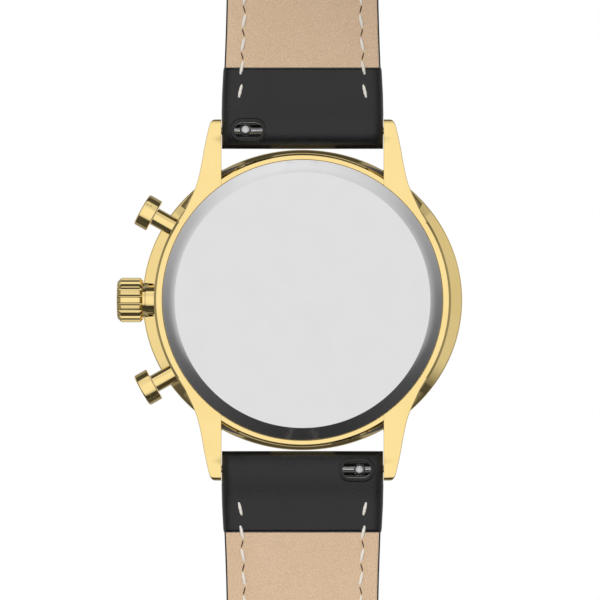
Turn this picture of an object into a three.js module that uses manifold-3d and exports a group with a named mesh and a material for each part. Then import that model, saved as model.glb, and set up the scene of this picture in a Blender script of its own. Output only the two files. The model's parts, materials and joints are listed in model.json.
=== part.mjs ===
// Chronograph wristwatch, in millimetres. +Z points to 12 o'clock, +X to the crown, -Y out of the dial and
// +Y into the wrist. The origin is the centre of the case back's flat, so depth into the watch runs along -Y.
import * as THREE from "three";
import { mergeVertices } from "three/addons/utils/BufferGeometryUtils.js";
import Module from "manifold-3d";

const wasm = await Module();
wasm.setup();

// ---- Driving dimensions ----

// How many straight sides stand in for a circle.
const sides = { large: 40, medium: 20, small: 12, flute: 6 };

// Clearances.
const fit = { touch: 0.02, running: 0.05, loose: 0.1, seat: 0.3 };

// Case: radii are from the dial's centre, depths from the case back's flat.
const caseBack = {
  flatRadius: 15.8,
  bevel: 0.9,
  thickness: 1.3,
  flange: 1.9,
  spigotWall: 1.2,
  spigot: 2.3,
};
const midCase = {
  backDepth: 1.0,
  frontDepth: 7.2,
  boreRadius: 16.6,
  seatRadius: 17.38,
  seatDepth: 2.32,
  wallFrom: 1.35,
  wallTo: 5.5,
  widestDepth: 6.5,
};
// Half the mid-case's width across 3 and 9 and across 12 and 6 o'clock.
const caseOval = { rim: [18.1, 17.85], wall: [18.45, 18.25], waist: [20.0, 18.8], front: [19.7, 18.6] };
const bezel = {
  radius: 18.5,
  edgeDepth: 8.2,
  shoulderRadius: 18.0,
  shoulderDepth: 9.4,
  lipRadius: 17.5,
  depth: 9.9,
};
const crystal = { radius: 16.95, thickness: 1.4, chamfer: 0.25, depth: 10.4 };
const gasketWall = 0.29;
const flangeRing = { topRadius: 16.2, footRadius: 15.4 };
const dial = {
  thickness: 0.4,
  recess: 0.15,
  subRadius: 3.9,
  subOffset: 7.4,
  centreHole: 0.85,
  subHole: 0.35,
};

// Lugs and the spring bars between them.
const lug = {
  gap: 20.1,
  reach: 22.4,
  barAxis: 21.0,
  barDepth: 2.2,
  tipWidth: 1.2,
  tipBackDepth: 0.45,
  holeDepth: 0.9,
};
const lugOutline = [
  [1.35, 22.15],
  [1.7, 20.6],
  [2.4, 17.4],
  [2.85, 15.0],
  [3.5, 13.2],
  [5.0, 10.4],
];
const springBar = {
  radius: 0.75,
  bore: 0.5,
  pinRadius: 0.4,
  shaftRadius: 0.42,
  travel: 1.1,
  pinReach: 0.75,
};
const knob = { radius: 0.7, offset: 7.04, proud: 0.25, slotFrom: 4.9, slotTo: 8.5, slotHeight: 2.0 };

// Crown, on the +X axis.
const crown = {
  radius: 2.775,
  length: 3.2,
  innerFace: 19.85,
  chamfer: 0.45,
  flutes: 18,
  fluteDepth: 0.26,
  socket: 2.15,
};
const crownTube = {
  radius: 1.65,
  bore: 0.7,
  from: 17.0,
  to: 20.75,
  collar: 1.8,
  collarFrom: 18.2,
  collarTo: 19.6,
};
const stem = { radius: 0.6, from: 8.6, grooveRadius: 0.32, grooveAt: 9.5, grooveWidth: 0.7 };
const controlDepth = 4.3;

// Pushers, at this angle above and below the crown.
const pusher = {
  angle: 29.5,
  headRadius: 2.075,
  headFrom: 21.2,
  headTo: 23.0,
  stemRadius: 1.125,
  shoulder: 17.95,
};
const pusherRod = { radius: 0.6, to: 15.9, clipRadius: 1.1, clipWall: 0.25 };
const pusherTube = { radius: 1.48, from: 16.65, to: 18.38, lip: 0.12 };

// Movement.
const holder = { radius: 16.4, innerRadius: 14.7, backDepth: 2.4 };
const plate = { radius: 14.6, frontDepth: 6.0, backDepth: 5.3, rimRadius: 13.6, rimDepth: 3.2 };
const board = { radius: 14.2, thickness: 0.3 };
const battery = { radius: 4.75, x: -5.4, z: -5.2, depth: 3.0, thickness: 2.1 };
const coil = { radius: 0.85, length: 7.0, x: 4.6, z: 7.5 };
const motionWork = {
  distance: 3.05,
  angle: 55,
  cannon: 0.75,
  minutePinion: 0.6,
  mesh: 0.05,
  tooth: 0.13,
};
const lever = { arm: 3.2, thickness: 0.2, pinRadius: 0.25, postRadius: 0.4, boss: 0.9 };

// Hands: blade depths rise from the dial towards the crystal.
const hand = { thickness: 0.12, small: 7.75, hour: 8.05, minute: 8.3, seconds: 8.55, arbor: 0.18 };

// Strap: distances along it are from the spring bar's axis. Widths and thicknesses are [distance, value].
const strap = {
  straight: 3.0,
  firstArc: 14.0,
  firstRadius: 60.0,
  bendRadius: 43.4,
  buckleHalf: 75.0,
  tailHalf: 115.0,
  endRadius: 2.25,
  foldEnd: 7.65,
  liningInset: 0.55,
  liningThickness: 0.8,
  glueLine: 0.12,
  station: 4.6,
};
const strapWidth = [
  [-3, 20.0],
  [2.0, 20.0],
  [8.0, 19.35],
  [12.5, 19.0],
  [16.0, 18.8],
  [75.0, 16.0],
  [115.0, 16.0],
];
const strapOuter = [
  [0, 2.25],
  [10.0, 2.0],
  [30.0, 1.5],
  [66.0, 1.2],
  [115.0, 1.1],
];
const strapInner = [
  [0, 2.25],
  [7.0, 1.45],
  [12.0, 1.2],
  [66.0, 1.0],
  [115.0, 0.9],
];
const tail = { tip: 13.0, tipWidth: 7.0, holes: 7, holeRadius: 1.0, firstHole: 62.0, holePitch: 6.0 };
const keeper = {
  halfWidth: 8.8,
  wall: 1.0,
  length: 4.6,
  fixedAt: 66.0,
  slidingAt: 57.3,
  roomForTail: 2.6,
};
const buckle = {
  halfWidth: 10.4,
  armWall: 2.0,
  length: 11.4,
  rodWidth: 2.5,
  thickness: 1.8,
  barRadius: 0.55,
  ear: 1.3,
};
const buckleLoop = { radius: 1.6, slotHalf: 1.5, slotBack: 3.2 };
const tongue = { width: 2.2, hub: 1.15, thickness: 0.8, reach: 11.0 };

// ---- Finishes ----

function finish(color, roughness, metalness) {
  return new THREE.MeshStandardMaterial({ color, roughness, metalness });
}
const gold = finish(0xe6c47a, 0.15, 1);
const steel = finish(0xd9dadb, 0.28, 1);
const polishedSteel = finish(0xc8cacc, 0.12, 1);
const springSteel = finish(0x9a9da0, 0.35, 1);
const blackLeather = finish(0x1c1c1e, 0.6, 0);
const liningLeather = finish(0xd3b494, 0.8, 0);
const gasketRubber = finish(0x202224, 0.8, 0);
const clear = { color: 0xeef4f6, roughness: 0.02, transparent: true, opacity: 0.35 };
const glass = new THREE.MeshStandardMaterial(clear);
const dialWhite = finish(0xf2f1ec, 0.5, 0);
const brass = finish(0xc9a45c, 0.35, 1);
const circuitGreen = finish(0x2f6b45, 0.6, 0);
const copper = finish(0xb5683c, 0.4, 1);
const holderPlastic = finish(0xe9e6df, 0.6, 0);

// ---- Solids ----

function toSolid(geometry) {
  const bare = geometry.clone();
  bare.deleteAttribute("normal");
  bare.deleteAttribute("uv");
  const merged = mergeVertices(bare, 1e-4);
  const vertProperties = merged.attributes.position.array;
  const triVerts = new Uint32Array(merged.index.array);
  const solid = new wasm.Manifold(new wasm.Mesh({ numProp: 3, vertProperties, triVerts }));
  if (solid.volume() > 0) return solid;
  for (let i = 0; i < triVerts.length; i += 3) {
    const swap = triVerts[i];
    triVerts[i] = triVerts[i + 1];
    triVerts[i + 1] = swap;
  }
  return new wasm.Manifold(new wasm.Mesh({ numProp: 3, vertProperties, triVerts }));
}

function toGeometry(solid) {
  const { vertProperties, triVerts } = solid.getMesh();
  const geometry = new THREE.BufferGeometry();
  geometry.setAttribute("position", new THREE.BufferAttribute(new Float32Array(vertProperties), 3));
  geometry.setIndex(new THREE.BufferAttribute(new Uint32Array(triVerts), 1));
  geometry.computeVertexNormals();
  return geometry;
}

const joined = (first, ...rest) => rest.reduce((sum, next) => sum.add(next), first);
const cutBy = (solid, ...tools) => tools.reduce((left, tool) => left.subtract(tool), solid);

// A solid of revolution about Y from [radius, depth] points. A profile off the axis closes on itself.
function turned(profile, around = sides.large) {
  const points = profile.map(([radius, depth]) => new THREE.Vector2(radius, -depth));
  if (profile[0][0] > 0) points.push(points[0].clone());
  return toSolid(new THREE.LatheGeometry(points, around));
}

const tubeProfile = (inner, outer, from, to) => [
  [inner, from],
  [outer, from],
  [outer, to],
  [inner, to],
];
const rodProfile = (radius, from, to) => [
  [0, from],
  [radius, from],
  [radius, to],
  [0, to],
];

// The same along an axis in the dial's plane: the profile is [radius, distance from the watch's centre].
function turnedAlong(profile, degrees, depth, around) {
  const points = profile.map(([radius, distance]) => new THREE.Vector2(radius, distance));
  if (profile[0][0] > 0) points.push(points[0].clone());
  const geometry = new THREE.LatheGeometry(points, around);
  geometry.rotateZ(-Math.PI / 2);
  geometry.rotateY(THREE.MathUtils.degToRad(-degrees));
  geometry.translate(0, -depth, 0);
  return toSolid(geometry);
}

// The same along X, through a spring bar or any other axis parallel to it.
function turnedAlongX(profile, y, z, around) {
  const points = profile.map(([radius, x]) => new THREE.Vector2(radius, x));
  if (profile[0][0] > 0) points.push(points[0].clone());
  const geometry = new THREE.LatheGeometry(points, around);
  geometry.rotateZ(-Math.PI / 2);
  geometry.translate(0, y, z);
  return toSolid(geometry);
}

function upright(radius, from, to, x, z, around = sides.small) {
  const geometry = new THREE.LatheGeometry(
    rodProfile(radius, from, to).map(([r, depth]) => new THREE.Vector2(r, -depth)),
    around,
  );
  geometry.translate(x, 0, z);
  return toSolid(geometry);
}

function block(x0, x1, y0, y1, z0, z1) {
  const geometry = new THREE.BoxGeometry(x1 - x0, y1 - y0, z1 - z0);
  geometry.translate((x0 + x1) / 2, (y0 + y1) / 2, (z0 + z1) / 2);
  return toSolid(geometry);
}

// A flat outline of [x, z] points between two depths.
function flat(outline, from, to) {
  const shape = new THREE.Shape(outline.map(([x, z]) => new THREE.Vector2(x, z)));
  const geometry = new THREE.ExtrudeGeometry(shape, { depth: to - from, bevelEnabled: false });
  geometry.rotateX(Math.PI / 2);
  geometry.translate(0, -from, 0);
  return toSolid(geometry);
}

// A surface through rows of points. Each row closes on itself, and the rows close in a ring or are capped.
function lofted(rows, ring = false) {
  const count = rows[0].length;
  const positions = rows.flatMap((row) => row.flatMap((point) => [point.x, point.y, point.z]));
  const index = [];
  const last = ring ? rows.length : rows.length - 1;
  for (let i = 0; i < last; i++) {
    const next = (i + 1) % rows.length;
    for (let j = 0; j < count; j++) {
      const k = (j + 1) % count;
      index.push(i * count + j, next * count + j, next * count + k);
      index.push(i * count + j, next * count + k, i * count + k);
    }
  }
  if (!ring) {
    for (let j = 1; j < count - 1; j++) {
      const end = (rows.length - 1) * count;
      index.push(0, j, j + 1);
      index.push(end, end + j + 1, end + j);
    }
  }
  const geometry = new THREE.BufferGeometry();
  geometry.setAttribute("position", new THREE.Float32BufferAttribute(positions, 3));
  geometry.setIndex(index);
  return toSolid(geometry);
}

// ---- The watch ----

const watch = new THREE.Group();

function add(name, material, solid, group = watch) {
  const mesh = new THREE.Mesh(toGeometry(solid), material);
  mesh.name = name;
  group.add(mesh);
}

// Case back: a bevelled steel cap whose spigot drops into the mid-case.
const spigotRadius = midCase.boreRadius - fit.loose;
const flangeRadius = midCase.seatRadius - fit.touch;
add(
  "case_back",
  steel,
  turned([
    [0, 0],
    [caseBack.flatRadius, 0],
    [flangeRadius, caseBack.bevel],
    [flangeRadius, caseBack.flange],
    [spigotRadius, caseBack.flange],
    [spigotRadius, caseBack.spigot],
    [spigotRadius - caseBack.spigotWall, caseBack.spigot],
    [spigotRadius - caseBack.spigotWall, caseBack.thickness],
    [0, caseBack.thickness],
  ]),
);
add(
  "case_back_gasket",
  gasketRubber,
  turned(
    tubeProfile(
      midCase.boreRadius + fit.loose,
      flangeRadius - fit.loose,
      caseBack.flange + fit.touch,
      midCase.seatDepth - fit.touch,
    ),
  ),
);

// Mid-case: a plain wall behind, then a rounded shoulder out to an oval waist below the bezel.
function ovalRadius(angle, [across, up]) {
  return (across * up) / Math.hypot(up * Math.cos(angle), across * Math.sin(angle));
}
const shoulderSteps = [0.35, 0.65, 0.85, 1];

function midCaseRing() {
  const rows = [];
  for (let i = 0; i < sides.large; i++) {
    const angle = (i / sides.large) * 2 * Math.PI;
    const place = (radius, depth) =>
      new THREE.Vector3(radius * Math.cos(angle), -depth, radius * Math.sin(angle));
    const wall = ovalRadius(angle, caseOval.wall);
    const waist = ovalRadius(angle, caseOval.waist);
    const shoulder = shoulderSteps.map((step) => {
      const turn = (step * Math.PI) / 2;
      const depth = midCase.wallTo + (midCase.widestDepth - midCase.wallTo) * (1 - Math.cos(turn));
      return place(wall + (waist - wall) * Math.sin(turn), depth);
    });
    rows.push([
      place(midCase.boreRadius, midCase.seatDepth),
      place(midCase.seatRadius, midCase.seatDepth),
      place(midCase.seatRadius, midCase.backDepth),
      place(ovalRadius(angle, caseOval.rim), midCase.backDepth),
      place(wall, midCase.wallFrom),
      place(wall, midCase.wallTo),
      ...shoulder,
      place(ovalRadius(angle, caseOval.front), midCase.frontDepth),
      place(midCase.boreRadius, midCase.frontDepth),
    ]);
  }
  return lofted(rows, true);
}

// One lug, above the dial on the crown's side: its plan and its side view, each extruded and then crossed.
function lugSolid() {
  const inner = lug.gap / 2;
  const tip = inner + lug.tipWidth;
  const plan = [
    [inner, 9.0],
    [inner, lug.reach],
    [tip - 0.35, lug.reach],
    [tip, lug.reach - 0.08],
    ...lugOutline.map(([width, z]) => [inner + width, z]),
    [inner + 5.0, 9.0],
  ];
  const side = [
    [9.0, midCase.backDepth],
    [17.6, midCase.backDepth],
    [18.6, midCase.backDepth - 0.08],
    [20.2, lug.tipBackDepth + 0.05],
    [lug.barAxis + 0.2, lug.tipBackDepth],
    [lug.reach - 0.6, lug.tipBackDepth + 0.3],
    [lug.reach - 0.12, lug.tipBackDepth + 1.0],
    [lug.reach, lug.barDepth],
    [lug.reach - 0.15, lug.barDepth + 0.7],
    [lug.barAxis + 0.6, lug.barDepth + 1.4],
    [19.2, lug.barDepth + 2.75],
    [17.4, lug.barDepth + 3.7],
    [15.2, midCase.frontDepth - 0.5],
    [13.0, midCase.frontDepth - 0.2],
    [9.0, midCase.frontDepth - 0.2],
  ];
  const planSolid = flat(plan, -1, 9);
  const shape = new THREE.Shape(side.map(([z, depth]) => new THREE.Vector2(z, -depth)));
  const geometry = new THREE.ExtrudeGeometry(shape, { depth: 9, bevelEnabled: false });
  geometry.rotateY(-Math.PI / 2);
  geometry.translate(inner + 8, 0, 0);
  const hole = turnedAlongX(
    rodProfile(springBar.pinRadius + fit.running, 0, inner + lug.holeDepth),
    -lug.barDepth,
    lug.barAxis,
    sides.small,
  );
  const bore = upright((midCase.seatRadius + caseOval.rim[1]) / 2, -2, 12, 0, 0, sides.large);
  return cutBy(planSolid.intersect(toSolid(geometry)), hole, bore);
}

function mirroredInto(solid, signX, signZ) {
  return toSolid(toGeometry(solid).scale(signX, 1, signZ));
}

const pusherAngles = { pusher_2: pusher.angle, pusher_4: -pusher.angle };
const oneLug = lugSolid();
const lugs = [1, -1].flatMap((signX) => [1, -1].map((signZ) => mirroredInto(oneLug, signX, signZ)));
const gapHalf = lug.gap / 2;

const boredThrough = (radius, from, angle) =>
  turnedAlong(rodProfile(radius, from, 24), angle, controlDepth, sides.medium);
const pusherBores = Object.values(pusherAngles).flatMap((angle) => [
  boredThrough(pusherRod.clipRadius + fit.loose, 15, angle),
  boredThrough(pusherTube.radius + fit.touch, pusherTube.from - fit.touch, angle),
]);
const crownBores = [
  boredThrough(crownTube.radius + fit.touch, 15, 0),
  boredThrough(crownTube.collar + fit.touch, crownTube.collarFrom - fit.touch, 0),
  boredThrough(crown.radius + fit.seat, crown.innerFace - fit.seat, 0),
];
add("mid_case", gold, cutBy(joined(midCaseRing(), ...lugs), ...crownBores, ...pusherBores));

// Bezel, crystal and what lies between them and the dial.
const seatDepth = crystal.depth - crystal.thickness;
const bezelBore = crystal.radius + gasketWall + 2 * fit.touch;
const flangeOuter = midCase.boreRadius - fit.loose;
add(
  "bezel",
  gold,
  turned([
    [flangeOuter + fit.loose, midCase.frontDepth + fit.touch],
    [bezel.radius, midCase.frontDepth + fit.touch],
    [bezel.radius, bezel.edgeDepth],
    [bezel.shoulderRadius, bezel.shoulderDepth],
    [bezel.lipRadius, bezel.depth],
    [bezelBore, bezel.depth],
    [bezelBore, seatDepth - fit.touch],
    [flangeOuter + fit.loose, seatDepth - fit.touch],
  ]),
);
add(
  "crystal",
  glass,
  turned([
    [0, seatDepth],
    [crystal.radius, seatDepth],
    [crystal.radius, crystal.depth - crystal.chamfer],
    [crystal.radius - crystal.chamfer, crystal.depth],
    [0, crystal.depth],
  ]),
);
add(
  "crystal_gasket",
  gasketRubber,
  turned(tubeProfile(crystal.radius + fit.touch, bezelBore - fit.touch, seatDepth, bezel.depth - fit.running)),
);
const dialFront = midCase.frontDepth + dial.thickness;
add(
  "inner_flange_ring",
  gold,
  turned([
    [flangeRing.footRadius, dialFront + fit.touch],
    [flangeOuter, dialFront + fit.touch],
    [flangeOuter, seatDepth - fit.running],
    [flangeRing.topRadius, seatDepth - fit.running],
  ]),
);

// Dial, with a sunken sub-dial at 3, 6 and 9 o'clock.
const subDials = {
  hour24_hand: [dial.subOffset, 0],
  small_seconds_hand: [0, -dial.subOffset],
  chrono_minutes_hand: [-dial.subOffset, 0],
};
const subCutters = Object.values(subDials).flatMap(([x, z]) => [
  upright(dial.subRadius, dialFront - dial.recess, dialFront + 1, x, z, sides.medium),
  upright(dial.subHole, 6, 9, x, z),
]);
add(
  "dial",
  dialWhite,
  cutBy(
    turned(rodProfile(flangeOuter, midCase.frontDepth, dialFront)),
    upright(dial.centreHole, 6, 9, 0, 0),
    ...subCutters,
  ),
);

// ---- Movement ----

const alongCrown = (radius, from, to) =>
  turnedAlong(rodProfile(radius, from, to), 0, controlDepth, sides.small);
const pusherRoom = Object.values(pusherAngles).map((angle) =>
  turnedAlong(rodProfile(pusherRod.clipRadius + fit.seat, 14, 18), angle, controlDepth, sides.small),
);
add(
  "movement_holder",
  holderPlastic,
  cutBy(
    turned(tubeProfile(holder.innerRadius, holder.radius, holder.backDepth, midCase.frontDepth - fit.touch)),
    alongCrown(stem.radius + fit.seat, 14, 18),
    ...pusherRoom,
  ),
);
const arborHoles = [[0, 0], ...Object.values(subDials)].map(([x, z]) =>
  upright(hand.arbor + fit.running, plate.backDepth - 1, plate.frontDepth + 1, x, z),
);
const leverPost = { x: stem.grooveAt, z: lever.arm };
const leverDepth = plate.rimDepth + fit.loose;
const radians = THREE.MathUtils.degToRad;
const wheelAt = {
  x: -motionWork.distance * Math.cos(radians(motionWork.angle)),
  z: motionWork.distance * Math.sin(radians(motionWork.angle)),
};
const wheelPost = upright(0.3, plate.frontDepth - 0.2, midCase.frontDepth - 0.1, wheelAt.x, wheelAt.z);
add(
  "main_plate",
  brass,
  cutBy(
    joined(
      turned([
        [0, plate.backDepth],
        [plate.rimRadius, plate.backDepth],
        [plate.rimRadius, plate.rimDepth],
        [plate.radius, plate.rimDepth],
        [plate.radius, plate.frontDepth],
        [0, plate.frontDepth],
      ]),
      upright(lever.postRadius, leverDepth, plate.backDepth + 0.2, leverPost.x, leverPost.z),
      wheelPost,
    ),
    alongCrown(stem.radius + fit.loose, plate.rimRadius - 1, plate.radius + 1),
    ...arborHoles,
  ),
);
const boardBack = plate.rimDepth - board.thickness;
add(
  "circuit_board",
  circuitGreen,
  cutBy(
    turned(rodProfile(board.radius, boardBack, plate.rimDepth - fit.touch), sides.medium),
    upright(battery.radius + fit.seat, 2, 4, battery.x, battery.z, sides.medium),
  ),
);
const batteryFront = battery.depth + battery.thickness;
add(
  "battery",
  polishedSteel,
  upright(battery.radius, battery.depth, batteryFront, battery.x, battery.z, sides.medium),
);
const clampZ = [battery.z - battery.radius - 1.6, battery.z + battery.radius + 1.6];
add(
  "battery_clamp",
  springSteel,
  block(battery.x - 1, battery.x + 1, -boardBack + fit.touch, -boardBack + 0.2, ...clampZ),
);
const coilY = -(plate.backDepth - coil.radius - fit.running);
["coil_1", "coil_2"].forEach((name, i) => {
  const sign = i ? -1 : 1;
  const ends = [sign * coil.x - coil.length / 2, sign * coil.x + coil.length / 2];
  add(name, copper, turnedAlongX(rodProfile(coil.radius, ends[0], ends[1]), coilY, coil.z, sides.small));
});

// A toothed wheel about the dial's normal. Its teeth stop a running gap short of the wheel beside it.
function wheel(radius, teeth, from, to, x, z) {
  const outline = [];
  for (let i = 0; i < teeth * 2; i++) {
    const r = i % 2 ? radius : radius - motionWork.tooth;
    const angle = (i / (teeth * 2)) * 2 * Math.PI;
    outline.push([x + r * Math.cos(angle), z + r * Math.sin(angle)]);
  }
  return flat(outline, from, to);
}
const lowWheel = { from: plate.frontDepth + 0.1, to: plate.frontDepth + 0.4 };
const highWheel = { from: plate.frontDepth + 0.5, to: plate.frontDepth + 0.8 };
const minuteWheelRadius = motionWork.distance - motionWork.cannon - motionWork.mesh;
const hourWheelRadius = motionWork.distance - motionWork.minutePinion - motionWork.mesh;
add(
  "minute_wheel",
  brass,
  cutBy(
    joined(
      wheel(minuteWheelRadius, 36, lowWheel.from, lowWheel.to, wheelAt.x, wheelAt.z),
      wheel(motionWork.minutePinion, 10, lowWheel.to - 0.05, highWheel.to, wheelAt.x, wheelAt.z),
    ),
    upright(0.3 + fit.running, 5, 8, wheelAt.x, wheelAt.z),
  ),
);

// ---- Hands ----

// A tapered blade on a round hub: length and tail are from the arbor, towards 12 o'clock.
function blade(length, tailLength, width, hub, depth, x, z) {
  const half = width / 2;
  const outline = [
    [x - half * 0.7, z - tailLength],
    [x + half * 0.7, z - tailLength],
    [x + half, z],
    [x + half * 0.8, z + length * 0.85],
    [x, z + length],
    [x - half * 0.8, z + length * 0.85],
    [x - half, z],
  ];
  const front = depth + hand.thickness;
  return joined(flat(outline, depth, front), upright(hub, depth - 0.02, front + 0.05, x, z));
}
const pipe = { minuteBore: 0.24, minute: 0.42, hourBore: 0.48, hour: 0.75 };
add(
  "hour_hand",
  gold,
  cutBy(
    joined(
      blade(8.6, 2.2, 1.2, 1.05, hand.hour, 0, 0),
      upright(pipe.hour, highWheel.from, hand.hour + 0.05, 0, 0),
      wheel(hourWheelRadius, 40, highWheel.from, highWheel.to, 0, 0),
    ),
    upright(pipe.hourBore, 5, 9, 0, 0),
  ),
);
add(
  "minute_hand",
  gold,
  cutBy(
    joined(
      blade(13.2, 2.6, 1.0, 0.85, hand.minute, 0, 0),
      upright(pipe.minute, lowWheel.from, hand.minute + 0.05, 0, 0),
      wheel(motionWork.cannon, 12, lowWheel.from, lowWheel.to, 0, 0),
    ),
    upright(pipe.minuteBore, 5, 9, 0, 0),
  ),
);
const arborFrom = plate.backDepth + 0.1;
add(
  "chrono_seconds_hand",
  gold,
  joined(
    blade(14.6, 4.4, 0.36, 0.6, hand.seconds, 0, 0),
    upright(hand.arbor, arborFrom, hand.seconds + 0.05, 0, 0),
  ),
);
for (const [name, [x, z]] of Object.entries(subDials)) {
  const arbor = upright(hand.arbor, arborFrom, hand.small + 0.05, x, z);
  add(name, gold, joined(blade(3.1, 0.9, 0.4, 0.42, hand.small, x, z), arbor));
}

// ---- Crown and stem ----

const crownOuter = crown.innerFace + crown.length;
function crownFlute(i) {
  const angle = (i / crown.flutes) * 2 * Math.PI;
  const radius = 0.32;
  const axis = crown.radius + radius - crown.fluteDepth;
  return turnedAlongX(
    rodProfile(radius, crown.innerFace + 0.15, crownOuter + 1),
    -controlDepth + axis * Math.cos(angle),
    axis * Math.sin(angle),
    sides.flute,
  );
}
const crownBody = turnedAlong(
  [
    [0, crownOuter],
    [crown.radius - crown.chamfer, crownOuter],
    [crown.radius, crownOuter - crown.chamfer],
    [crown.radius, crown.innerFace + 0.2],
    [crown.radius - 0.2, crown.innerFace],
    [crown.socket, crown.innerFace],
    [crown.socket, crownTube.to + fit.loose],
    [0, crownTube.to + fit.loose],
  ],
  0,
  controlDepth,
  2 * crown.flutes,
);
const flutes = Array.from({ length: crown.flutes }, (_, i) => crownFlute(i));
add("crown", gold, cutBy(crownBody, ...flutes));
add(
  "crown_tube",
  gold,
  turnedAlong(
    [
      [crownTube.bore, crownTube.from],
      [crownTube.radius, crownTube.from],
      [crownTube.radius, crownTube.collarFrom],
      [crownTube.collar, crownTube.collarFrom],
      [crownTube.collar, crownTube.collarTo],
      [crownTube.radius, crownTube.collarTo],
      [crownTube.radius, crownTube.to],
      [crownTube.bore, crownTube.to],
    ],
    0,
    controlDepth,
    sides.medium,
  ),
);
add(
  "crown_gasket",
  gasketRubber,
  turnedAlong(
    tubeProfile(crownTube.radius + fit.running, crown.socket - fit.running, 20.2, 20.6),
    0,
    controlDepth,
    sides.medium,
  ),
);
const groove = [stem.grooveAt - stem.grooveWidth / 2, stem.grooveAt + stem.grooveWidth / 2];
add(
  "winding_stem",
  springSteel,
  turnedAlong(
    [
      [0, stem.from],
      [stem.radius, stem.from],
      [stem.radius, groove[0]],
      [stem.grooveRadius, groove[0]],
      [stem.grooveRadius, groove[1]],
      [stem.radius, groove[1]],
      [stem.radius, crownTube.to + fit.loose - fit.touch],
      [0, crownTube.to + fit.loose - fit.touch],
    ],
    0,
    controlDepth,
    sides.small,
  ),
);
add(
  "setting_pinion",
  springSteel,
  turnedAlong(tubeProfile(stem.radius + fit.running, 0.95, 11.6, 12.8), 0, controlDepth, sides.small),
);
const leverPlate = flat(
  [
    [leverPost.x - lever.boss, leverPost.z + lever.boss],
    [leverPost.x - 0.45, -0.4],
    [leverPost.x + 0.45, -0.4],
    [leverPost.x + lever.boss, leverPost.z + lever.boss],
  ],
  leverDepth,
  leverDepth + lever.thickness,
);
add(
  "setting_lever",
  springSteel,
  cutBy(
    joined(
      leverPlate,
      upright(lever.pinRadius, leverDepth + 0.05, controlDepth - stem.grooveRadius - fit.loose, leverPost.x, 0),
    ),
    upright(lever.postRadius + fit.running, 2, 6, leverPost.x, leverPost.z),
  ),
);

// ---- Pushers ----

const gasketAt = { from: 18.1, to: 18.3, core: 0.9 };
const clipAt = { from: 16.1, to: 16.1 + pusherRod.clipWall };
const springFrom = pusherTube.from + pusherTube.lip;
const springRadii = [pusherRod.radius + fit.loose, pusher.stemRadius - fit.running];
for (const [name, angle] of Object.entries(pusherAngles)) {
  const along = (profile, around = sides.medium) => turnedAlong(profile, angle, controlDepth, around);
  add(
    name + "_button",
    gold,
    along([
      [0, pusher.headTo],
      [pusher.headRadius - 0.3, pusher.headTo],
      [pusher.headRadius, pusher.headTo - 0.3],
      [pusher.headRadius, pusher.headFrom + 0.2],
      [pusher.headRadius - 0.2, pusher.headFrom],
      [pusher.stemRadius, pusher.headFrom],
      [pusher.stemRadius, gasketAt.to],
      [gasketAt.core, gasketAt.to],
      [gasketAt.core, gasketAt.from],
      [pusher.stemRadius, gasketAt.from],
      [pusher.stemRadius, pusher.shoulder],
      [pusherRod.radius, pusher.shoulder],
      [pusherRod.radius, pusherRod.to],
      [0, pusherRod.to],
    ]),
  );
  add(
    name + "_tube",
    gold,
    along([
      [pusherRod.radius + fit.running, pusherTube.from],
      [pusherTube.radius, pusherTube.from],
      [pusherTube.radius, pusherTube.to],
      [pusher.stemRadius + fit.running, pusherTube.to],
      [pusher.stemRadius + fit.running, springFrom],
      [pusherRod.radius + fit.running, springFrom],
    ]),
  );
  add(
    name + "_gasket",
    gasketRubber,
    along(
      tubeProfile(gasketAt.core + fit.touch, pusher.stemRadius, gasketAt.from + fit.touch, gasketAt.to - fit.touch),
      sides.small,
    ),
  );
  add(
    name + "_spring",
    springSteel,
    along(tubeProfile(...springRadii, springFrom + fit.touch, pusher.shoulder - fit.touch), sides.small),
  );
  add(
    name + "_clip",
    springSteel,
    along(tubeProfile(pusherRod.radius + fit.touch, pusherRod.clipRadius, clipAt.from, clipAt.to), sides.small),
  );
}

// ---- Spring bars with a quick-release pin ----

const pinTip = gapHalf + springBar.pinReach;
const tubeEnd = knob.offset - knob.radius - springBar.travel - fit.loose;
const collarFrom = tubeEnd + springBar.travel + fit.loose;
const collarTo = strapWidth[0][1] / 2 - 0.1;
const shaftFrom = tubeEnd - 1.9;
const strapBackY = -lug.barDepth + strap.endRadius;
function springBarAt(label, side, knobSide) {
  const z = side * lug.barAxis;
  const alongX = (profile, around = sides.small) =>
    turnedAlongX(
      profile.map(([radius, x]) => [radius, knobSide * x]),
      -lug.barDepth,
      z,
      around,
    );
  add(
    label + "_tube",
    polishedSteel,
    alongX([
      [0, -pinTip],
      [springBar.pinRadius, -pinTip],
      [springBar.pinRadius, -collarTo],
      [springBar.radius, -collarTo],
      [springBar.radius, tubeEnd],
      [springBar.bore, tubeEnd],
      [springBar.bore, shaftFrom - 5.4],
      [0, shaftFrom - 5.4],
    ]),
  );
  const pin = alongX([
    [0, shaftFrom],
    [springBar.shaftRadius, shaftFrom],
    [springBar.shaftRadius, collarFrom],
    [springBar.radius - fit.running, collarFrom],
    [springBar.radius - fit.running, collarTo],
    [springBar.pinRadius, collarTo],
    [springBar.pinRadius, pinTip],
    [0, pinTip],
  ]);
  const head = upright(knob.radius, -strapBackY - knob.proud, lug.barDepth - 0.3, knobSide * knob.offset, z);
  add(label + "_release_pin", polishedSteel, joined(pin, head));
  const coil = rodProfile(springBar.bore - fit.running, shaftFrom - 5.3, shaftFrom - fit.touch);
  add(label + "_spring", springSteel, alongX(coil));
}
springBarAt("bar_12", 1, 1);
springBarAt("bar_6", -1, -1);

// ---- Strap ----

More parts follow.
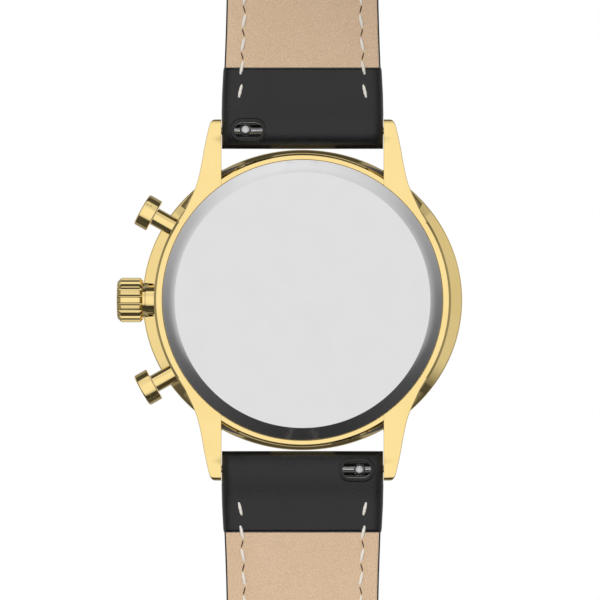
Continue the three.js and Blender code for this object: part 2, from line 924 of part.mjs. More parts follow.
function along(table, s) {
  const after = table.findIndex(([at]) => at >= s);
  if (after === 0) return table[0][1];
  if (after < 0) return table[table.length - 1][1];
  const [s0, v0] = table[after - 1];
  const [s1, v1] = table[after];
  return v0 + ((v1 - v0) * (s - s0)) / (s1 - s0);
}

// The strap's middle line: straight out of the lugs, then two arcs that curl it towards the wrist.
const bendStart = strap.straight + strap.firstArc;
function slope(s) {
  if (s <= strap.straight) return 0;
  if (s <= bendStart) return (s - strap.straight) / strap.firstRadius;
  return strap.firstArc / strap.firstRadius + (s - bendStart) / strap.bendRadius;
}
function middle(s) {
  const arc = (radius, from, to) => ({
    y: radius * (Math.cos(from) - Math.cos(to)),
    z: radius * (Math.sin(to) - Math.sin(from)),
  });
  const start = { y: -lug.barDepth, z: lug.barAxis };
  if (s <= strap.straight) return { y: start.y, z: start.z + s };
  const first = arc(strap.firstRadius, 0, slope(Math.min(s, bendStart)));
  const second = s > bendStart ? arc(strap.bendRadius, slope(bendStart), slope(s)) : { y: 0, z: 0 };
  return { y: start.y + first.y + second.y, z: start.z + strap.straight + first.z + second.z };
}

// A point beside the middle line: x across, inward towards the wrist. Side is 1 at 12 and -1 at 6 o'clock.
function strapPoint(side, s, x, inward) {
  const at = middle(s);
  const angle = slope(s);
  return new THREE.Vector3(x, at.y + inward * Math.cos(angle), side * (at.z - inward * Math.sin(angle)));
}

// A slab between two offsets from the middle line, over the given stations. Corner trims its long edges.
function slab(side, stations, halfWidth, outer, inner, corner = 0) {
  return lofted(
    stations.map((s) => {
      const half = halfWidth(s);
      const out = -outer(s);
      const into = inner(s);
      const trim = Math.min(corner, (into - out) / 3);
      return [
        [-half, out + trim],
        [-half + 2 * trim, out],
        [half - 2 * trim, out],
        [half, out + trim],
        [half, into - trim / 2],
        [half - trim / 2, into],
        [-half + trim / 2, into],
        [-half, into - trim / 2],
      ].map(([x, inward]) => strapPoint(side, s, x, inward));
    }),
  );
}

const stationsBetween = (from, to, step) => {
  const count = Math.max(1, Math.ceil((to - from) / step));
  return Array.from({ length: count + 1 }, (_, i) => from + ((to - from) * i) / count);
};
const roundEnd = (radius) => [0.98, 0.9, 0.75, 0.5, 0.25].map((share) => radius * share);
const lipped = (radius, distance) => Math.sqrt(radius ** 2 - distance ** 2);

// A round hole across the strap, square to its middle line.
function punched(side, s, radius) {
  const geometry = new THREE.LatheGeometry(
    rodProfile(radius, -5, 5).map(([r, depth]) => new THREE.Vector2(r, depth)),
    sides.small,
  );
  geometry.rotateX(slope(s) * -1);
  const at = middle(s);
  geometry.translate(0, at.y, at.z);
  geometry.scale(1, 1, side);
  return toSolid(geometry);
}

const halfWidthAt = (s) => along(strapWidth, s) / 2;
const outerAt = (s) => (s < 0 ? lipped(strap.endRadius, s) : along(strapOuter, s));
const innerAt = (s) => (s < 0 ? lipped(strap.endRadius, s) : along(strapInner, s));
const leatherInnerAt = (s) =>
  s > strap.foldEnd ? innerAt(s) - strap.liningThickness - strap.glueLine : innerAt(s);
const lugEnd = [...roundEnd(strap.endRadius).map((distance) => -distance), 0, 2, 4, 6, strap.foldEnd];
const barHole = (side) =>
  turnedAlongX(rodProfile(springBar.radius + fit.loose, -12, 12), -lug.barDepth, side * lug.barAxis, sides.small);
const knobSlot = (side, knobSide) => {
  const x = [knobSide * knob.slotFrom, knobSide * knob.slotTo].sort((a, b) => a - b);
  const z = side * lug.barAxis;
  return block(x[0], x[1], -lug.barDepth, strapBackY + 1, z - knob.slotHeight / 2, z + knob.slotHeight / 2);
};

// 12 o'clock half: its far end loops round the buckle's bar.
const loopFrom = strap.buckleHalf - 6;
const loopEase = (s, plain) => {
  const share = Math.min(1, Math.max(0, (s - loopFrom) / 4));
  return plain + (buckleLoop.radius - plain) * share;
};
const buckleOuter = (s) =>
  s > strap.buckleHalf ? lipped(buckleLoop.radius, s - strap.buckleHalf) : loopEase(s, outerAt(s));
const buckleInner = (s) =>
  s > strap.buckleHalf
    ? lipped(buckleLoop.radius, s - strap.buckleHalf)
    : Math.max(leatherInnerAt(s), loopEase(s, leatherInnerAt(s)));
const buckleStations = [
  ...lugEnd,
  strap.foldEnd + 0.02,
  ...stationsBetween(strap.foldEnd + 1, loopFrom, strap.station),
  loopFrom + 1.3,
  loopFrom + 2.6,
  loopFrom + 4,
  strap.buckleHalf,
  ...roundEnd(buckleLoop.radius)
    .map((distance) => strap.buckleHalf + distance)
    .reverse(),
];
const buckleAt = middle(strap.buckleHalf);
const buckleTilt = Math.PI / 2 - slope(strap.buckleHalf);
const placedAtBuckle = (geometry) => toSolid(geometry.rotateX(buckleTilt).translate(0, buckleAt.y, buckleAt.z));
const loopHole = turnedAlongX(
  rodProfile(buckle.barRadius + fit.loose, -12, 12),
  buckleAt.y,
  buckleAt.z,
  sides.small,
);
const tongueSlot = placedAtBuckle(
  new THREE.BoxGeometry(2 * buckleLoop.slotHalf, buckleLoop.slotBack + 2, 6).translate(
    0,
    (2 - buckleLoop.slotBack) / 2,
    0,
  ),
);
add(
  "strap_12_leather",
  blackLeather,
  cutBy(
    slab(1, buckleStations, halfWidthAt, buckleOuter, buckleInner, 0.6),
    barHole(1),
    knobSlot(1, 1),
    loopHole,
    tongueSlot,
  ),
);
const liningHalf = (s) => halfWidthAt(s) - strap.liningInset;
const liningOuter = (s) => strap.liningThickness - innerAt(s);
add(
  "strap_12_lining",
  liningLeather,
  slab(
    1,
    stationsBetween(strap.foldEnd + fit.loose, loopFrom - fit.seat, strap.station),
    liningHalf,
    liningOuter,
    innerAt,
  ),
);

// 6 o'clock half: a pointed tail with a row of punched holes.
const tailNarrowing = (s) => {
  const left = (strap.tailHalf - s) / tail.tip;
  if (left >= 1) return 1;
  const blunt = tail.tipWidth / along(strapWidth, strap.tailHalf);
  return blunt + (1 - blunt) * Math.sqrt(Math.max(0, 1 - (1 - left) ** 2));
};
const tailHalfWidth = (s) => halfWidthAt(s) * tailNarrowing(s);
const tipStations = [1, 0.8, 0.6, 0.4, 0.25, 0.12, 0.04, 0].map((share) => strap.tailHalf - tail.tip * share);
const tailStations = [
  ...lugEnd,
  strap.foldEnd + 0.02,
  ...stationsBetween(strap.foldEnd + 1, strap.tailHalf - tail.tip - 3, strap.station),
  ...tipStations,
];
const tailHoles = Array.from({ length: tail.holes }, (_, i) => tail.firstHole + i * tail.holePitch);
const tailPunches = tailHoles.map((s) => punched(-1, s, tail.holeRadius));
add(
  "strap_6_leather",
  blackLeather,
  cutBy(
    slab(-1, tailStations, tailHalfWidth, outerAt, leatherInnerAt, 0.6),
    barHole(-1),
    knobSlot(-1, -1),
    ...tailPunches,
  ),
);
const liningTail = strap.tailHalf - 1.2;
add(
  "strap_6_lining",
  liningLeather,
  cutBy(
    slab(
      -1,
      [
        ...stationsBetween(strap.foldEnd + fit.loose, strap.tailHalf - tail.tip - 3, strap.station),
        ...tipStations.filter((s) => s < liningTail),
        liningTail,
      ],
      (s) => tailHalfWidth(s) - strap.liningInset,
      liningOuter,
      innerAt,
    ),
    ...tailPunches,
  ),
);

// Keepers: leather loops with room for the tail above the strap.
function keeperLoop(at) {
  const stations = stationsBetween(at - keeper.length / 2, at + keeper.length / 2, 1.2);
  const below = innerAt(at - keeper.length) + fit.loose;
  const above = outerAt(at - keeper.length) + keeper.roomForTail;
  const wall = keeper.wall;
  const outside = slab(1, stations, () => keeper.halfWidth + wall, () => above + wall, () => below + wall, 0.4);
  const longer = [at - keeper.length / 2 - 1, ...stations, at + keeper.length / 2 + 1];
  return cutBy(outside, slab(1, longer, () => keeper.halfWidth, () => above, () => below));
}
add("fixed_keeper", blackLeather, keeperLoop(keeper.fixedAt));
add("sliding_keeper", blackLeather, keeperLoop(keeper.slidingAt));

// ---- Buckle ----

function buckleFrame() {
  const outer = buckle.halfWidth;
  const inner = outer - buckle.armWall;
  const far = buckle.length;
  const shape = new THREE.Shape();
  shape.moveTo(inner, -buckle.ear);
  shape.lineTo(outer, -buckle.ear);
  shape.lineTo(outer, far - 3);
  shape.absarc(outer - 3, far - 3, 3, 0, Math.PI / 2);
  shape.lineTo(-outer + 3, far);
  shape.absarc(-outer + 3, far - 3, 3, Math.PI / 2, Math.PI);
  shape.lineTo(-outer, -buckle.ear);
  shape.lineTo(-inner, -buckle.ear);
  shape.lineTo(-inner, far - buckle.rodWidth);
  shape.lineTo(inner, far - buckle.rodWidth);
  const geometry = new THREE.ExtrudeGeometry(shape, {
    depth: buckle.thickness,
    bevelEnabled: false,
    curveSegments: 6,
  });
  return placedAtBuckle(geometry.translate(0, 0, -buckle.thickness / 2));
}
const buckleRod = (radius, reach) =>
  turnedAlongX(rodProfile(radius, -reach, reach), buckleAt.y, buckleAt.z, sides.small);
add("buckle_frame", gold, cutBy(buckleFrame(), buckleRod(buckle.barRadius + fit.running, buckle.halfWidth + 1)));
add("buckle_bar", polishedSteel, buckleRod(buckle.barRadius, buckle.halfWidth - 0.2));

function tongueSolid() {
  const rest = buckle.thickness / 2 + fit.running;
  const side = new THREE.Shape();
  side.moveTo(0, -tongue.hub);
  side.absarc(0, 0, tongue.hub, -Math.PI / 2, Math.PI / 2, true);
  side.lineTo(3.2, rest + 0.2 + tongue.thickness);
  side.lineTo(tongue.reach - 0.6, rest + tongue.thickness);
  side.lineTo(tongue.reach, rest + 0.3);
  side.lineTo(tongue.reach - 0.2, rest);
  side.lineTo(3.4, rest + 0.1);
  side.lineTo(1.0, -0.55);
  const geometry = new THREE.ExtrudeGeometry(side, { depth: tongue.width, bevelEnabled: false, curveSegments: 8 });
  geometry.translate(0, 0, -tongue.width / 2);
  const upright = new THREE.Matrix4().makeBasis(
    new THREE.Vector3(0, 1, 0),
    new THREE.Vector3(0, 0, 1),
    new THREE.Vector3(1, 0, 0),
  );
  return placedAtBuckle(geometry.applyMatrix4(upright));
}
add("buckle_tongue", gold, cutBy(tongueSolid(), buckleRod(buckle.barRadius + fit.running, 3)));

export default watch;
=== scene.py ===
"""The looks of a chronograph wristwatch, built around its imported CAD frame.

Sizes are in millimetres and become metres in each mesh. +Z is 12 o'clock, +X the crown and +Y the wrist side.
Depth is the distance from the case back's flat towards the dial, so it runs along -Y.
"""

import json
import math

import bmesh
import bpy
from mathutils import Matrix, Vector


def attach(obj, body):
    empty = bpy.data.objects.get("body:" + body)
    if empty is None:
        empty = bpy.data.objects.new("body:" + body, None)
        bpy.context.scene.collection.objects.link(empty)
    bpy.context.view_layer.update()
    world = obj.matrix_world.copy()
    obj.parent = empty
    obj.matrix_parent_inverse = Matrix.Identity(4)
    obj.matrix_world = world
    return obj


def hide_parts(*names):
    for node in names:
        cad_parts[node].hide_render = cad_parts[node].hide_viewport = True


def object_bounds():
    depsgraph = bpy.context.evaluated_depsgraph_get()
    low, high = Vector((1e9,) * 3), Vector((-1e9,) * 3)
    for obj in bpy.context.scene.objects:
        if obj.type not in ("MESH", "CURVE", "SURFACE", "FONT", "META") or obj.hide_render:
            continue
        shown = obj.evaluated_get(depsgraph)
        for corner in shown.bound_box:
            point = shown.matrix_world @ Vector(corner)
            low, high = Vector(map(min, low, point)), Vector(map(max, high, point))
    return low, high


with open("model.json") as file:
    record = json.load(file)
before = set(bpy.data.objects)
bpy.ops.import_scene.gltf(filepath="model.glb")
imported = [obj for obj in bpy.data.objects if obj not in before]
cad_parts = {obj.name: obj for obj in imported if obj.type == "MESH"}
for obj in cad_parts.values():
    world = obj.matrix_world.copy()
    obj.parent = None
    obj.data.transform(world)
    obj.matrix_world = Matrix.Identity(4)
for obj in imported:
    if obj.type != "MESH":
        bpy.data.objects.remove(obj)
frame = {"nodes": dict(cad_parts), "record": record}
cad_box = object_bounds()
scene = bpy.context.scene
MM = 0.001
TAU = 2 * math.pi

# ---- Camera, light and stage ----

VIEW_MM = 74.1  # height and width that the picture covers at the case back
CAMERA_DISTANCE = 450.0
SENSOR = 36.0

camera = bpy.data.objects.new("camera", bpy.data.cameras.new("camera"))
camera.data.sensor_width = SENSOR
camera.data.lens = SENSOR * CAMERA_DISTANCE / VIEW_MM
camera.data.clip_start = 0.01
camera.location = (0.31 * MM, CAMERA_DISTANCE * MM, 0)
camera.rotation_euler = (math.pi / 2, 0, math.pi)
scene.collection.objects.link(camera)
scene.camera = camera

scene.view_settings.view_transform = "Standard"


class Nodes:
    """A node tree with short calls for the sums that the materials and the world need."""

    def __init__(self, tree):
        self.tree = tree

    def new(self, kind, **settings):
        node = self.tree.nodes.new("ShaderNode" + kind)
        for key, value in settings.items():
            setattr(node, key, value)
        return node

    def put(self, socket, value):
        if isinstance(value, bpy.types.NodeSocket):
            self.tree.links.new(value, socket)
        else:
            socket.default_value = value

    def math(self, operation, *values, clamp=False):
        node = self.new("Math", operation=operation, use_clamp=clamp)
        for socket, value in zip(node.inputs, values):
            self.put(socket, value)
        return node.outputs[0]

    def step(self, value, low, high, to_low=0.0, to_high=1.0):
        """Smoothly from to_low to to_high as value goes from low to high."""
        node = self.new("MapRange", interpolation_type="SMOOTHSTEP")
        for socket, number in zip(node.inputs, (value, low, high, to_low, to_high)):
            self.put(socket, number)
        return node.outputs[0]

    def mix(self, share, first, second):
        """Between two numbers."""
        return self.math(
            "ADD", self.math("MULTIPLY", self.math("SUBTRACT", 1.0, share), first),
            self.math("MULTIPLY", share, second)
        )

    def mix_color(self, share, first, second, blend="MIX"):
        node = self.new("Mix", data_type="RGBA", blend_type=blend)
        for index, value in ((0, share), (6, first), (7, second)):
            color = isinstance(value, tuple) and len(value) == 3
            self.put(node.inputs[index], (*value, 1.0) if color else value)
        return node.outputs[2]

    def ramp(self, value, stops):
        node = self.new("ValToRGB")
        node.color_ramp.elements[0].position = stops[0][0]
        node.color_ramp.elements[0].color = (*[stops[0][1]] * 3, 1)
        node.color_ramp.elements[1].position = stops[-1][0]
        node.color_ramp.elements[1].color = (*[stops[-1][1]] * 3, 1)
        for position, grey in stops[1:-1]:
            node.color_ramp.elements.new(position).color = (grey, grey, grey, 1)
        self.put(node.inputs[0], value)
        return node.outputs[0]


def studio_world():
    """White to the camera. Polished metal sees a tent with dark parts, and matte surfaces an even light."""
    world = bpy.data.worlds.new("studio")
    world.use_nodes = True
    world.node_tree.nodes.clear()
    n = Nodes(world.node_tree)
    direction = n.new("TexCoord").outputs["Generated"]
    split = n.new("SeparateXYZ")
    n.put(split.inputs[0], direction)
    x, y, z = split.outputs
    polar = n.math("MULTIPLY", n.math("ARCCOSINE", y), 180 / math.pi)  # 0 towards the wrist side
    across = n.math(
        "MAXIMUM",
        n.math("POWER", n.math("ADD", n.math("MULTIPLY", x, x), n.math("MULTIPLY", z, z)), 0.5), 0.001
    )
    up = n.math("DIVIDE", z, across)
    side = n.math("DIVIDE", x, across)
    # The ring that a shallow bevel reflects: bright above, grey at the sides and dark below.
    shallow = n.math(
        "MULTIPLY",
        n.ramp(
            n.math("MULTIPLY_ADD", up, 0.5, 0.5),
            ((0.0, 0.04), (0.2, 0.10), (0.5, 0.27), (0.8, 0.55), (0.97, 0.95), (1.0, 1.0))
        ),
        1.2
    )
    lit_side = n.math("MULTIPLY_ADD", side, 0.11, 0.80)
    fade = n.mix(n.step(up, -0.9, -0.2), 12.0, 0.0)
    tent = n.mix(n.step(n.math("ADD", polar, fade), 50, 64), 1.0, shallow)
    tent = n.math("MULTIPLY", tent, n.mix(n.step(polar, 24, 40), 1.0, lit_side))
    # Behind that ring it is dark above and below, grey at the sides, and light again behind the watch.
    vertical = n.step(n.math("ABSOLUTE", up), 0.25, 0.75)
    behind = n.mix(vertical, 0.3, 0.07)
    tent = n.mix(n.step(polar, 70, 78), tent, behind)
    front = n.mix(n.step(polar, 112, 122), 0.0, 1.0)
    low_front = n.mix(vertical, n.math("MULTIPLY_ADD", up, 0.3, 0.6), 0.32)
    front_tent = n.mix(n.step(n.math("SUBTRACT", 180.0, polar), 7, 16), 1.0, low_front)
    tent = n.mix(front, tent, front_tent)
    path = n.new("LightPath")
    diffuse = n.mix(n.step(z, -1.0, 1.0), 0.5, 0.74)
    light = n.mix(path.outputs["Is Glossy Ray"], diffuse, tent)
    seen = n.math("MAXIMUM", path.outputs["Is Camera Ray"], path.outputs["Is Transmission Ray"])
    light = n.mix(seen, light, 1.0)
    background = n.new("Background")
    n.put(background.inputs["Strength"], light)
    background.inputs["Color"].default_value = (1, 1, 1, 1)
    n.put(n.new("OutputWorld").inputs["Surface"], background.outputs[0])
    scene.world = world


def lamp(name, place, size, power):
    light = bpy.data.lights.new(name, "AREA")
    light.size = size
    light.energy = power
    obj = bpy.data.objects.new(name, light)
    obj.location = place
    obj.rotation_mode = "QUATERNION"
    obj.rotation_quaternion = (-Vector(place)).to_track_quat("-Z", "Y")
    obj.visible_glossy = False
    scene.collection.objects.link(obj)


studio_world()
lamp("wrist_side_lamp", (0.25, 0.55, 0.55), 0.5, 3.2)
lamp("dial_side_lamp", (-0.3, -0.6, 0.5), 0.5, 3.2)

# ---- Mesh building ----


def rounded(corners, steps=4):
    """A path through corners of (a, b) or (a, b, radius): corners with a radius become arcs."""
    points = []
    count = len(corners)
    for i, corner in enumerate(corners):
        here = Vector(corner[:2])
        radius = corner[2] if len(corner) > 2 else 0
        if not radius:
            points.append(tuple(here))
            continue
        before = (Vector(corners[i - 1][:2]) - here).normalized()
        after = (Vector(corners[(i + 1) % count][:2]) - here).normalized()
        half = math.acos(max(-1, min(1, before.dot(after)))) / 2
        reach = radius / math.tan(half)
        start, end = here + before * reach, here + after * reach
        middle = here + (before + after).normalized() * (radius / math.sin(half))
        first, last = start - middle, end - middle
        turn = math.acos(max(-1, min(1, first.normalized().dot(last.normalized()))))
        for k in range(steps + 1):
            share = k / steps
            blend = first * math.sin((1 - share) * turn) + last * math.sin(share * turn)
            points.append(tuple(middle + blend / math.sin(turn)))
    return points


def loft(rows, ring=False, capped=True):
    """Vertices and faces through rows of points. Each row closes on itself."""
    count = len(rows[0])
    vertices = [point for row in rows for point in row]
    faces = []
    for i in range(len(rows) if ring else len(rows) - 1):
        following = (i + 1) % len(rows)
        for j in range(count):
            k = (j + 1) % count
            faces.append((i * count + j, following * count + j, following * count + k, i * count + k))
    if capped and not ring:
        faces.append(tuple(reversed(range(count))))
        faces.append(tuple(range((len(rows) - 1) * count, len(rows) * count)))
    return vertices, faces


def revolved(profile, segments, place):
    """A closed profile of (radius, along) turned round an axis. place gives the point."""
    rows = [[place(radius, TAU * i / segments, along) for radius, along in profile] for i in range(segments)]
    return loft(rows, ring=True)


def about_dial(radius, angle, depth, x=0.0, z=0.0):
    return (x + radius * math.cos(angle), -depth, z + radius * math.sin(angle))


def shade(obj, sharp):
    """Smooth shading that keeps wide faces flat beside their rounded edges."""
    obj.data.set_sharp_from_angle(angle=math.radians(sharp))
    for polygon in obj.data.polygons:
        polygon.use_smooth = abs(polygon.normal.y) < 0.9995
    modifier = obj.modifiers.new("normals", "WEIGHTED_NORMAL")
    modifier.keep_sharp = True
    made = bpy.data.meshes.new_from_object(obj.evaluated_get(bpy.context.evaluated_depsgraph_get()))
    obj.modifiers.remove(modifier)
    obj.data = made


def piece(name, parts, material, body, *replaced, slot=None, sharp=35):
    """One mesh object from (vertices, faces) parts in millimetres, riding on a body."""
    mesh = bpy.data.meshes.new(name)
    vertices, faces = [], []
    for part_vertices, part_faces in parts:
        offset = len(vertices)
        vertices.extend(part_vertices)
        faces.extend(tuple(i + offset for i in face) for face in part_faces)
    mesh.from_pydata([Vector(v) * MM for v in vertices], [], faces)
    work = bmesh.new()
    work.from_mesh(mesh)
    bmesh.ops.remove_doubles(work, verts=work.verts, dist=1e-7)
    bmesh.ops.dissolve_degenerate(work, dist=1e-8, edges=work.edges)
    bmesh.ops.recalc_face_normals(work, faces=work.faces)
    work.to_mesh(mesh)
    work.free()
    obj = bpy.data.objects.new(name, mesh)
    obj.data.materials.append(material)
    scene.collection.objects.link(obj)
    shade(obj, sharp)
    if body:
        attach(obj, body)
    if replaced:
        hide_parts(*replaced)
    return obj


def apply_boolean(obj, other, operation):
    """Joins other to obj, or cuts it away, and removes other."""
    modifier = obj.modifiers.new("boolean", "BOOLEAN")
    modifier.object = other
    modifier.operation = operation
    modifier.solver = "EXACT"
    depsgraph = bpy.context.evaluated_depsgraph_get()
    made = bpy.data.meshes.new_from_object(obj.evaluated_get(depsgraph))
    obj.modifiers.remove(modifier)
    obj.data = made
    bpy.data.objects.remove(other)


def tool(name, part):
    return piece(name, [part], materials["gold"], None)


def rod(radius, start, end, place, segments=48):
    return revolved([(0, start), (radius, start), (radius, end), (0, end)], segments, place)


def along_axis(degrees, depth):
    """A placer for shapes turned about an axis in the dial's plane, measured from the watch's centre."""
    axis = Vector((math.cos(math.radians(degrees)), 0, math.sin(math.radians(degrees))))
    aside = Vector((-axis.z, 0, axis.x))

    def place(radius, angle, along):
        return tuple(
            axis * along + aside * (radius * math.cos(angle)) + Vector(
                (0, radius * math.sin(angle) - depth, 0)
            )
        )

    return place


def along_x(y, z):
    """A placer for shapes turned about a line parallel to X."""
    return lambda radius, angle, along: (along, y + radius * math.cos(angle), z + radius * math.sin(angle))


# ---- Materials ----


def surface(name):
    material = bpy.data.materials.new(name)
    material.use_nodes = True
    material.node_tree.nodes.clear()
    n = Nodes(material.node_tree)
    shader = n.new("BsdfPrincipled")
    n.put(n.new("OutputMaterial").inputs["Surface"], shader.outputs[0])
    return material, n, shader, n.new("TexCoord").outputs["Object"]


def noise(n, where, scale, detail=3.0, stretch=None):
    if stretch:
        mapping = n.new("Mapping")
        mapping.inputs["Scale"].default_value = stretch
        n.put(mapping.inputs[0], where)
        where = mapping.outputs[0]
    node = n.new("TexNoise")
    n.put(node.inputs["Vector"], where)
    node.inputs["Scale"].default_value = scale
    node.inputs["Detail"].default_value = detail
    return node.outputs[0]


def bump(n, shader, height, distance, strength=1.0):
    node = n.new("Bump")
    node.inputs["Strength"].default_value = strength
    node.inputs["Distance"].default_value = distance
    n.put(node.inputs["Height"], height)
    n.put(shader.inputs["Normal"], node.outputs[0])


def metal(name, base, darker, rough, rough_more, scratch, stretch=(1, 1, 1)):
    """Metal whose colour, gloss and surface vary a little, with fine scratches."""
    material, n, shader, where = surface(name)
    patches = noise(n, where, 260, 4)
    n.put(shader.inputs["Base Color"], n.mix_color(n.step(patches, 0.35, 0.75), base, darker))
    shader.inputs["Metallic"].default_value = 1.0
    smudge = noise(n, where, 900, 5)
    n.put(shader.inputs["Roughness"], n.step(smudge, 0.3, 0.8, rough, rough_more))
    bump(n, shader, noise(n, where, 2600, 2, stretch), scratch)
    return material


def dull(name, base, other, rough, scale, distance, metallic=0.0, detail=5.0):
    """A matte or satin surface with mottled colour and a fine grain."""
    material, n, shader, where = surface(name)
    mottle = noise(n, where, scale, detail)
    n.put(shader.inputs["Base Color"], n.mix_color(n.step(mottle, 0.3, 0.7), base, other))
    shader.inputs["Metallic"].default_value = metallic
    n.put(shader.inputs["Roughness"], n.step(mottle, 0.3, 0.8, rough, min(1.0, rough + 0.15)))
    bump(n, shader, noise(n, where, scale * 6, 3), distance)
    return material


def leather(name, base, worn, rough, rough_more, cell, depth, pore=0.5, gloss=0.5):
    """Leather: pebbled cells with creases between them, pores, and a slow change of tone. The creases are
    painted darker as shade.
    """
    material, n, shader, where = surface(name)
    warp = n.new("VectorMath", operation="MULTIPLY_ADD")
    wobble = n.new("TexNoise")
    n.put(wobble.inputs["Vector"], where)
    wobble.inputs["Scale"].default_value = 700
    n.put(warp.inputs[0], wobble.outputs["Color"])
    warp.inputs[1].default_value = (0.0004, 0.0004, 0.0004)
    n.put(warp.inputs[2], where)
    cells = n.new("TexVoronoi", feature="DISTANCE_TO_EDGE")
    n.put(cells.inputs["Vector"], warp.outputs[0])
    cells.inputs["Scale"].default_value = 1 / (cell * MM)
    crease = n.step(cells.outputs["Distance"], 0.0, 0.22)
    pores = noise(n, where, 9000, 3)
    slow = noise(n, where, 150, 4)
    tone = n.math("MULTIPLY", n.step(slow, 0.3, 0.75), 0.8)
    color = n.mix_color(tone, base, worn)
    # The creases between the cells are painted darker: painted shade.
    color = n.mix_color(
        n.math("MULTIPLY", n.math("SUBTRACT", 1.0, crease), 0.35), color, tuple(c * 0.6 for c in base)
    )
    n.put(shader.inputs["Base Color"], color)
    n.put(shader.inputs["Roughness"], n.step(slow, 0.3, 0.8, rough, rough_more))
    shader.inputs["Specular IOR Level"].default_value = gloss
    height = n.math("MULTIPLY_ADD", pores, pore, crease)
    bump(n, shader, height, depth * MM)
    return material


def glass_material():
    material, n, shader, where = surface("crystal_glass")
    shader.inputs["Base Color"].default_value = (0.97, 0.985, 0.99, 1)
    shader.inputs["Transmission Weight"].default_value = 1.0
    shader.inputs["IOR"].default_value = 1.5
    n.put(shader.inputs["Roughness"], n.step(noise(n, where, 400, 3), 0.4, 0.9, 0.0, 0.02))
    return material


GOLD = (0.98, 0.76, 0.335)
materials = {
    "gold": metal("gold_case", GOLD, (0.965, 0.73, 0.305), 0.05, 0.085, scratch=6e-8, stretch=(1, 1, 0.12)),
    "gold_hands": metal("gold_hands", (0.93, 0.70, 0.33), (0.88, 0.64, 0.28), 0.12, 0.2, scratch=2e-7),
    "steel_back": metal("steel_back", (0.75, 0.75, 0.755), (0.735, 0.735, 0.74), 0.11, 0.14, scratch=3e-8),
    # The bevel's steel is a lighter copy of the back's steel: painted light.
    "steel_bevel_painted_light": metal("steel_bevel_painted_light", (0.80, 0.80, 0.81), (0.78, 0.78, 0.79), 0.11, 0.15, scratch=3e-8),
    "polished_steel": metal(
        "polished_steel", (0.62, 0.62, 0.63), (0.52, 0.52, 0.53), 0.14, 0.24, scratch=3e-7
    ),
    "spring_steel": metal(
        "spring_steel", (0.55, 0.56, 0.58), (0.42, 0.43, 0.46), 0.25, 0.4, scratch=6e-7,
        stretch=(0.1, 1, 1)
    ),
    "movement_brass": metal(
        "movement_brass", (0.72, 0.55, 0.28), (0.62, 0.46, 0.22), 0.25, 0.38, scratch=8e-7,
        stretch=(1, 1, 0.05)
    ),
    "coil_copper": metal(
        "coil_copper", (0.62, 0.28, 0.13), (0.42, 0.17, 0.08), 0.3, 0.45, scratch=4e-6,
        stretch=(6, 0.2, 0.2)
    ),
    "strap_leather": leather(
        "strap_leather", (0.006, 0.006, 0.0065), (0.012, 0.012, 0.0125), 0.3, 0.4, 0.42, 0.012, gloss=0.42
    ),
    "lining_leather": leather(
        "lining_leather", (0.665, 0.475, 0.31), (0.69, 0.505, 0.345), 0.6, 0.75, 0.3, 0.012, pore=0.8
    ),
    "gasket_rubber": dull("gasket_rubber", (0.012, 0.012, 0.013), (0.02, 0.02, 0.02), 0.6, 1500, 1e-6),
    "dial_face": dull("dial_face", (0.83, 0.82, 0.79), (0.80, 0.79, 0.76), 0.35, 700, 4e-7),
    "circuit": dull("circuit", (0.015, 0.12, 0.05), (0.05, 0.22, 0.09), 0.4, 600, 2e-6),
    "holder_plastic": dull("holder_plastic", (0.72, 0.70, 0.66), (0.66, 0.64, 0.60), 0.45, 800, 2e-6),
    "print_black": dull("print_black", (0.015, 0.015, 0.016), (0.02, 0.02, 0.02), 0.4, 2000, 2e-7),
    "thread": dull("thread", (0.80, 0.77, 0.71), (0.70, 0.66, 0.60), 0.75, 9000, 8e-6),
    # Near-black gold: painted shade for the deep wall beside the lugs, where the strap end shades it.
    "gold_painted_shade": dull(
        "gold_painted_shade", (0.02, 0.011, 0.004), (0.035, 0.02, 0.007), 0.4, 1500, 1e-6, metallic=0.6
    ),
    "hole_shadow": dull("hole_shadow", (0.10, 0.055, 0.025), (0.06, 0.03, 0.012), 0.9, 4000, 4e-6),
    "crystal": glass_material(),
}

# ---- Mid-case ----

CASE_OVAL = {"rim": (18.12, 17.9), "wall": (18.42, 18.22), "waist": (20.0, 18.8), "front": (19.72, 18.6)}
BACK, FRONT = 1.0, 7.2
SEAT_RADIUS, BORE_RADIUS, SEAT_DEPTH = 17.4, 16.6, 2.32
WALL_TO, CONE_TO = 5.45, 6.0
CONTROL_DEPTH = 4.3
LARGE, MEDIUM = 288, 96


def oval(angle, size):
    across, up = size
    return across * up / math.hypot(up * math.cos(angle), across * math.sin(angle))


def wall_at_lugs(angle, wall, waist):
    """The wall leans outwards in the corners beside the lugs, where the shoulder narrows to nothing."""
    off = math.degrees(abs(math.asin(math.cos(angle))))
    lean = min(1.0, max(0.0, (off - 16) / 15)) * min(1.0, max(0.0, (41 - off) / 6))
    return wall + (waist - 0.2 - wall) * lean


def case_ring():
    rows = []
    for i in range(LARGE):
        angle = TAU * i / LARGE
        rim, wall, waist, front = (oval(angle, CASE_OVAL[k]) for k in ("rim", "wall", "waist", "front"))
        shoulder = wall_at_lugs(angle, wall, waist)
        profile = rounded([
            (BORE_RADIUS, SEAT_DEPTH), (SEAT_RADIUS, SEAT_DEPTH), (SEAT_RADIUS, BACK, 0.05),
            (rim, BACK, 0.1), (wall, BACK + 0.32, 0.1), (shoulder, WALL_TO, 0.05),
            (waist - 0.1, CONE_TO, 0.12), (waist, CONE_TO + 0.2, 0.08), (waist, 6.9, 0.08),
            (front, FRONT, 0.1), (BORE_RADIUS, FRONT),
        ])
        rows.append([about_dial(radius, angle, depth) for radius, depth in profile])
    return loft(rows, ring=True)


LUG_INNER = 10.05
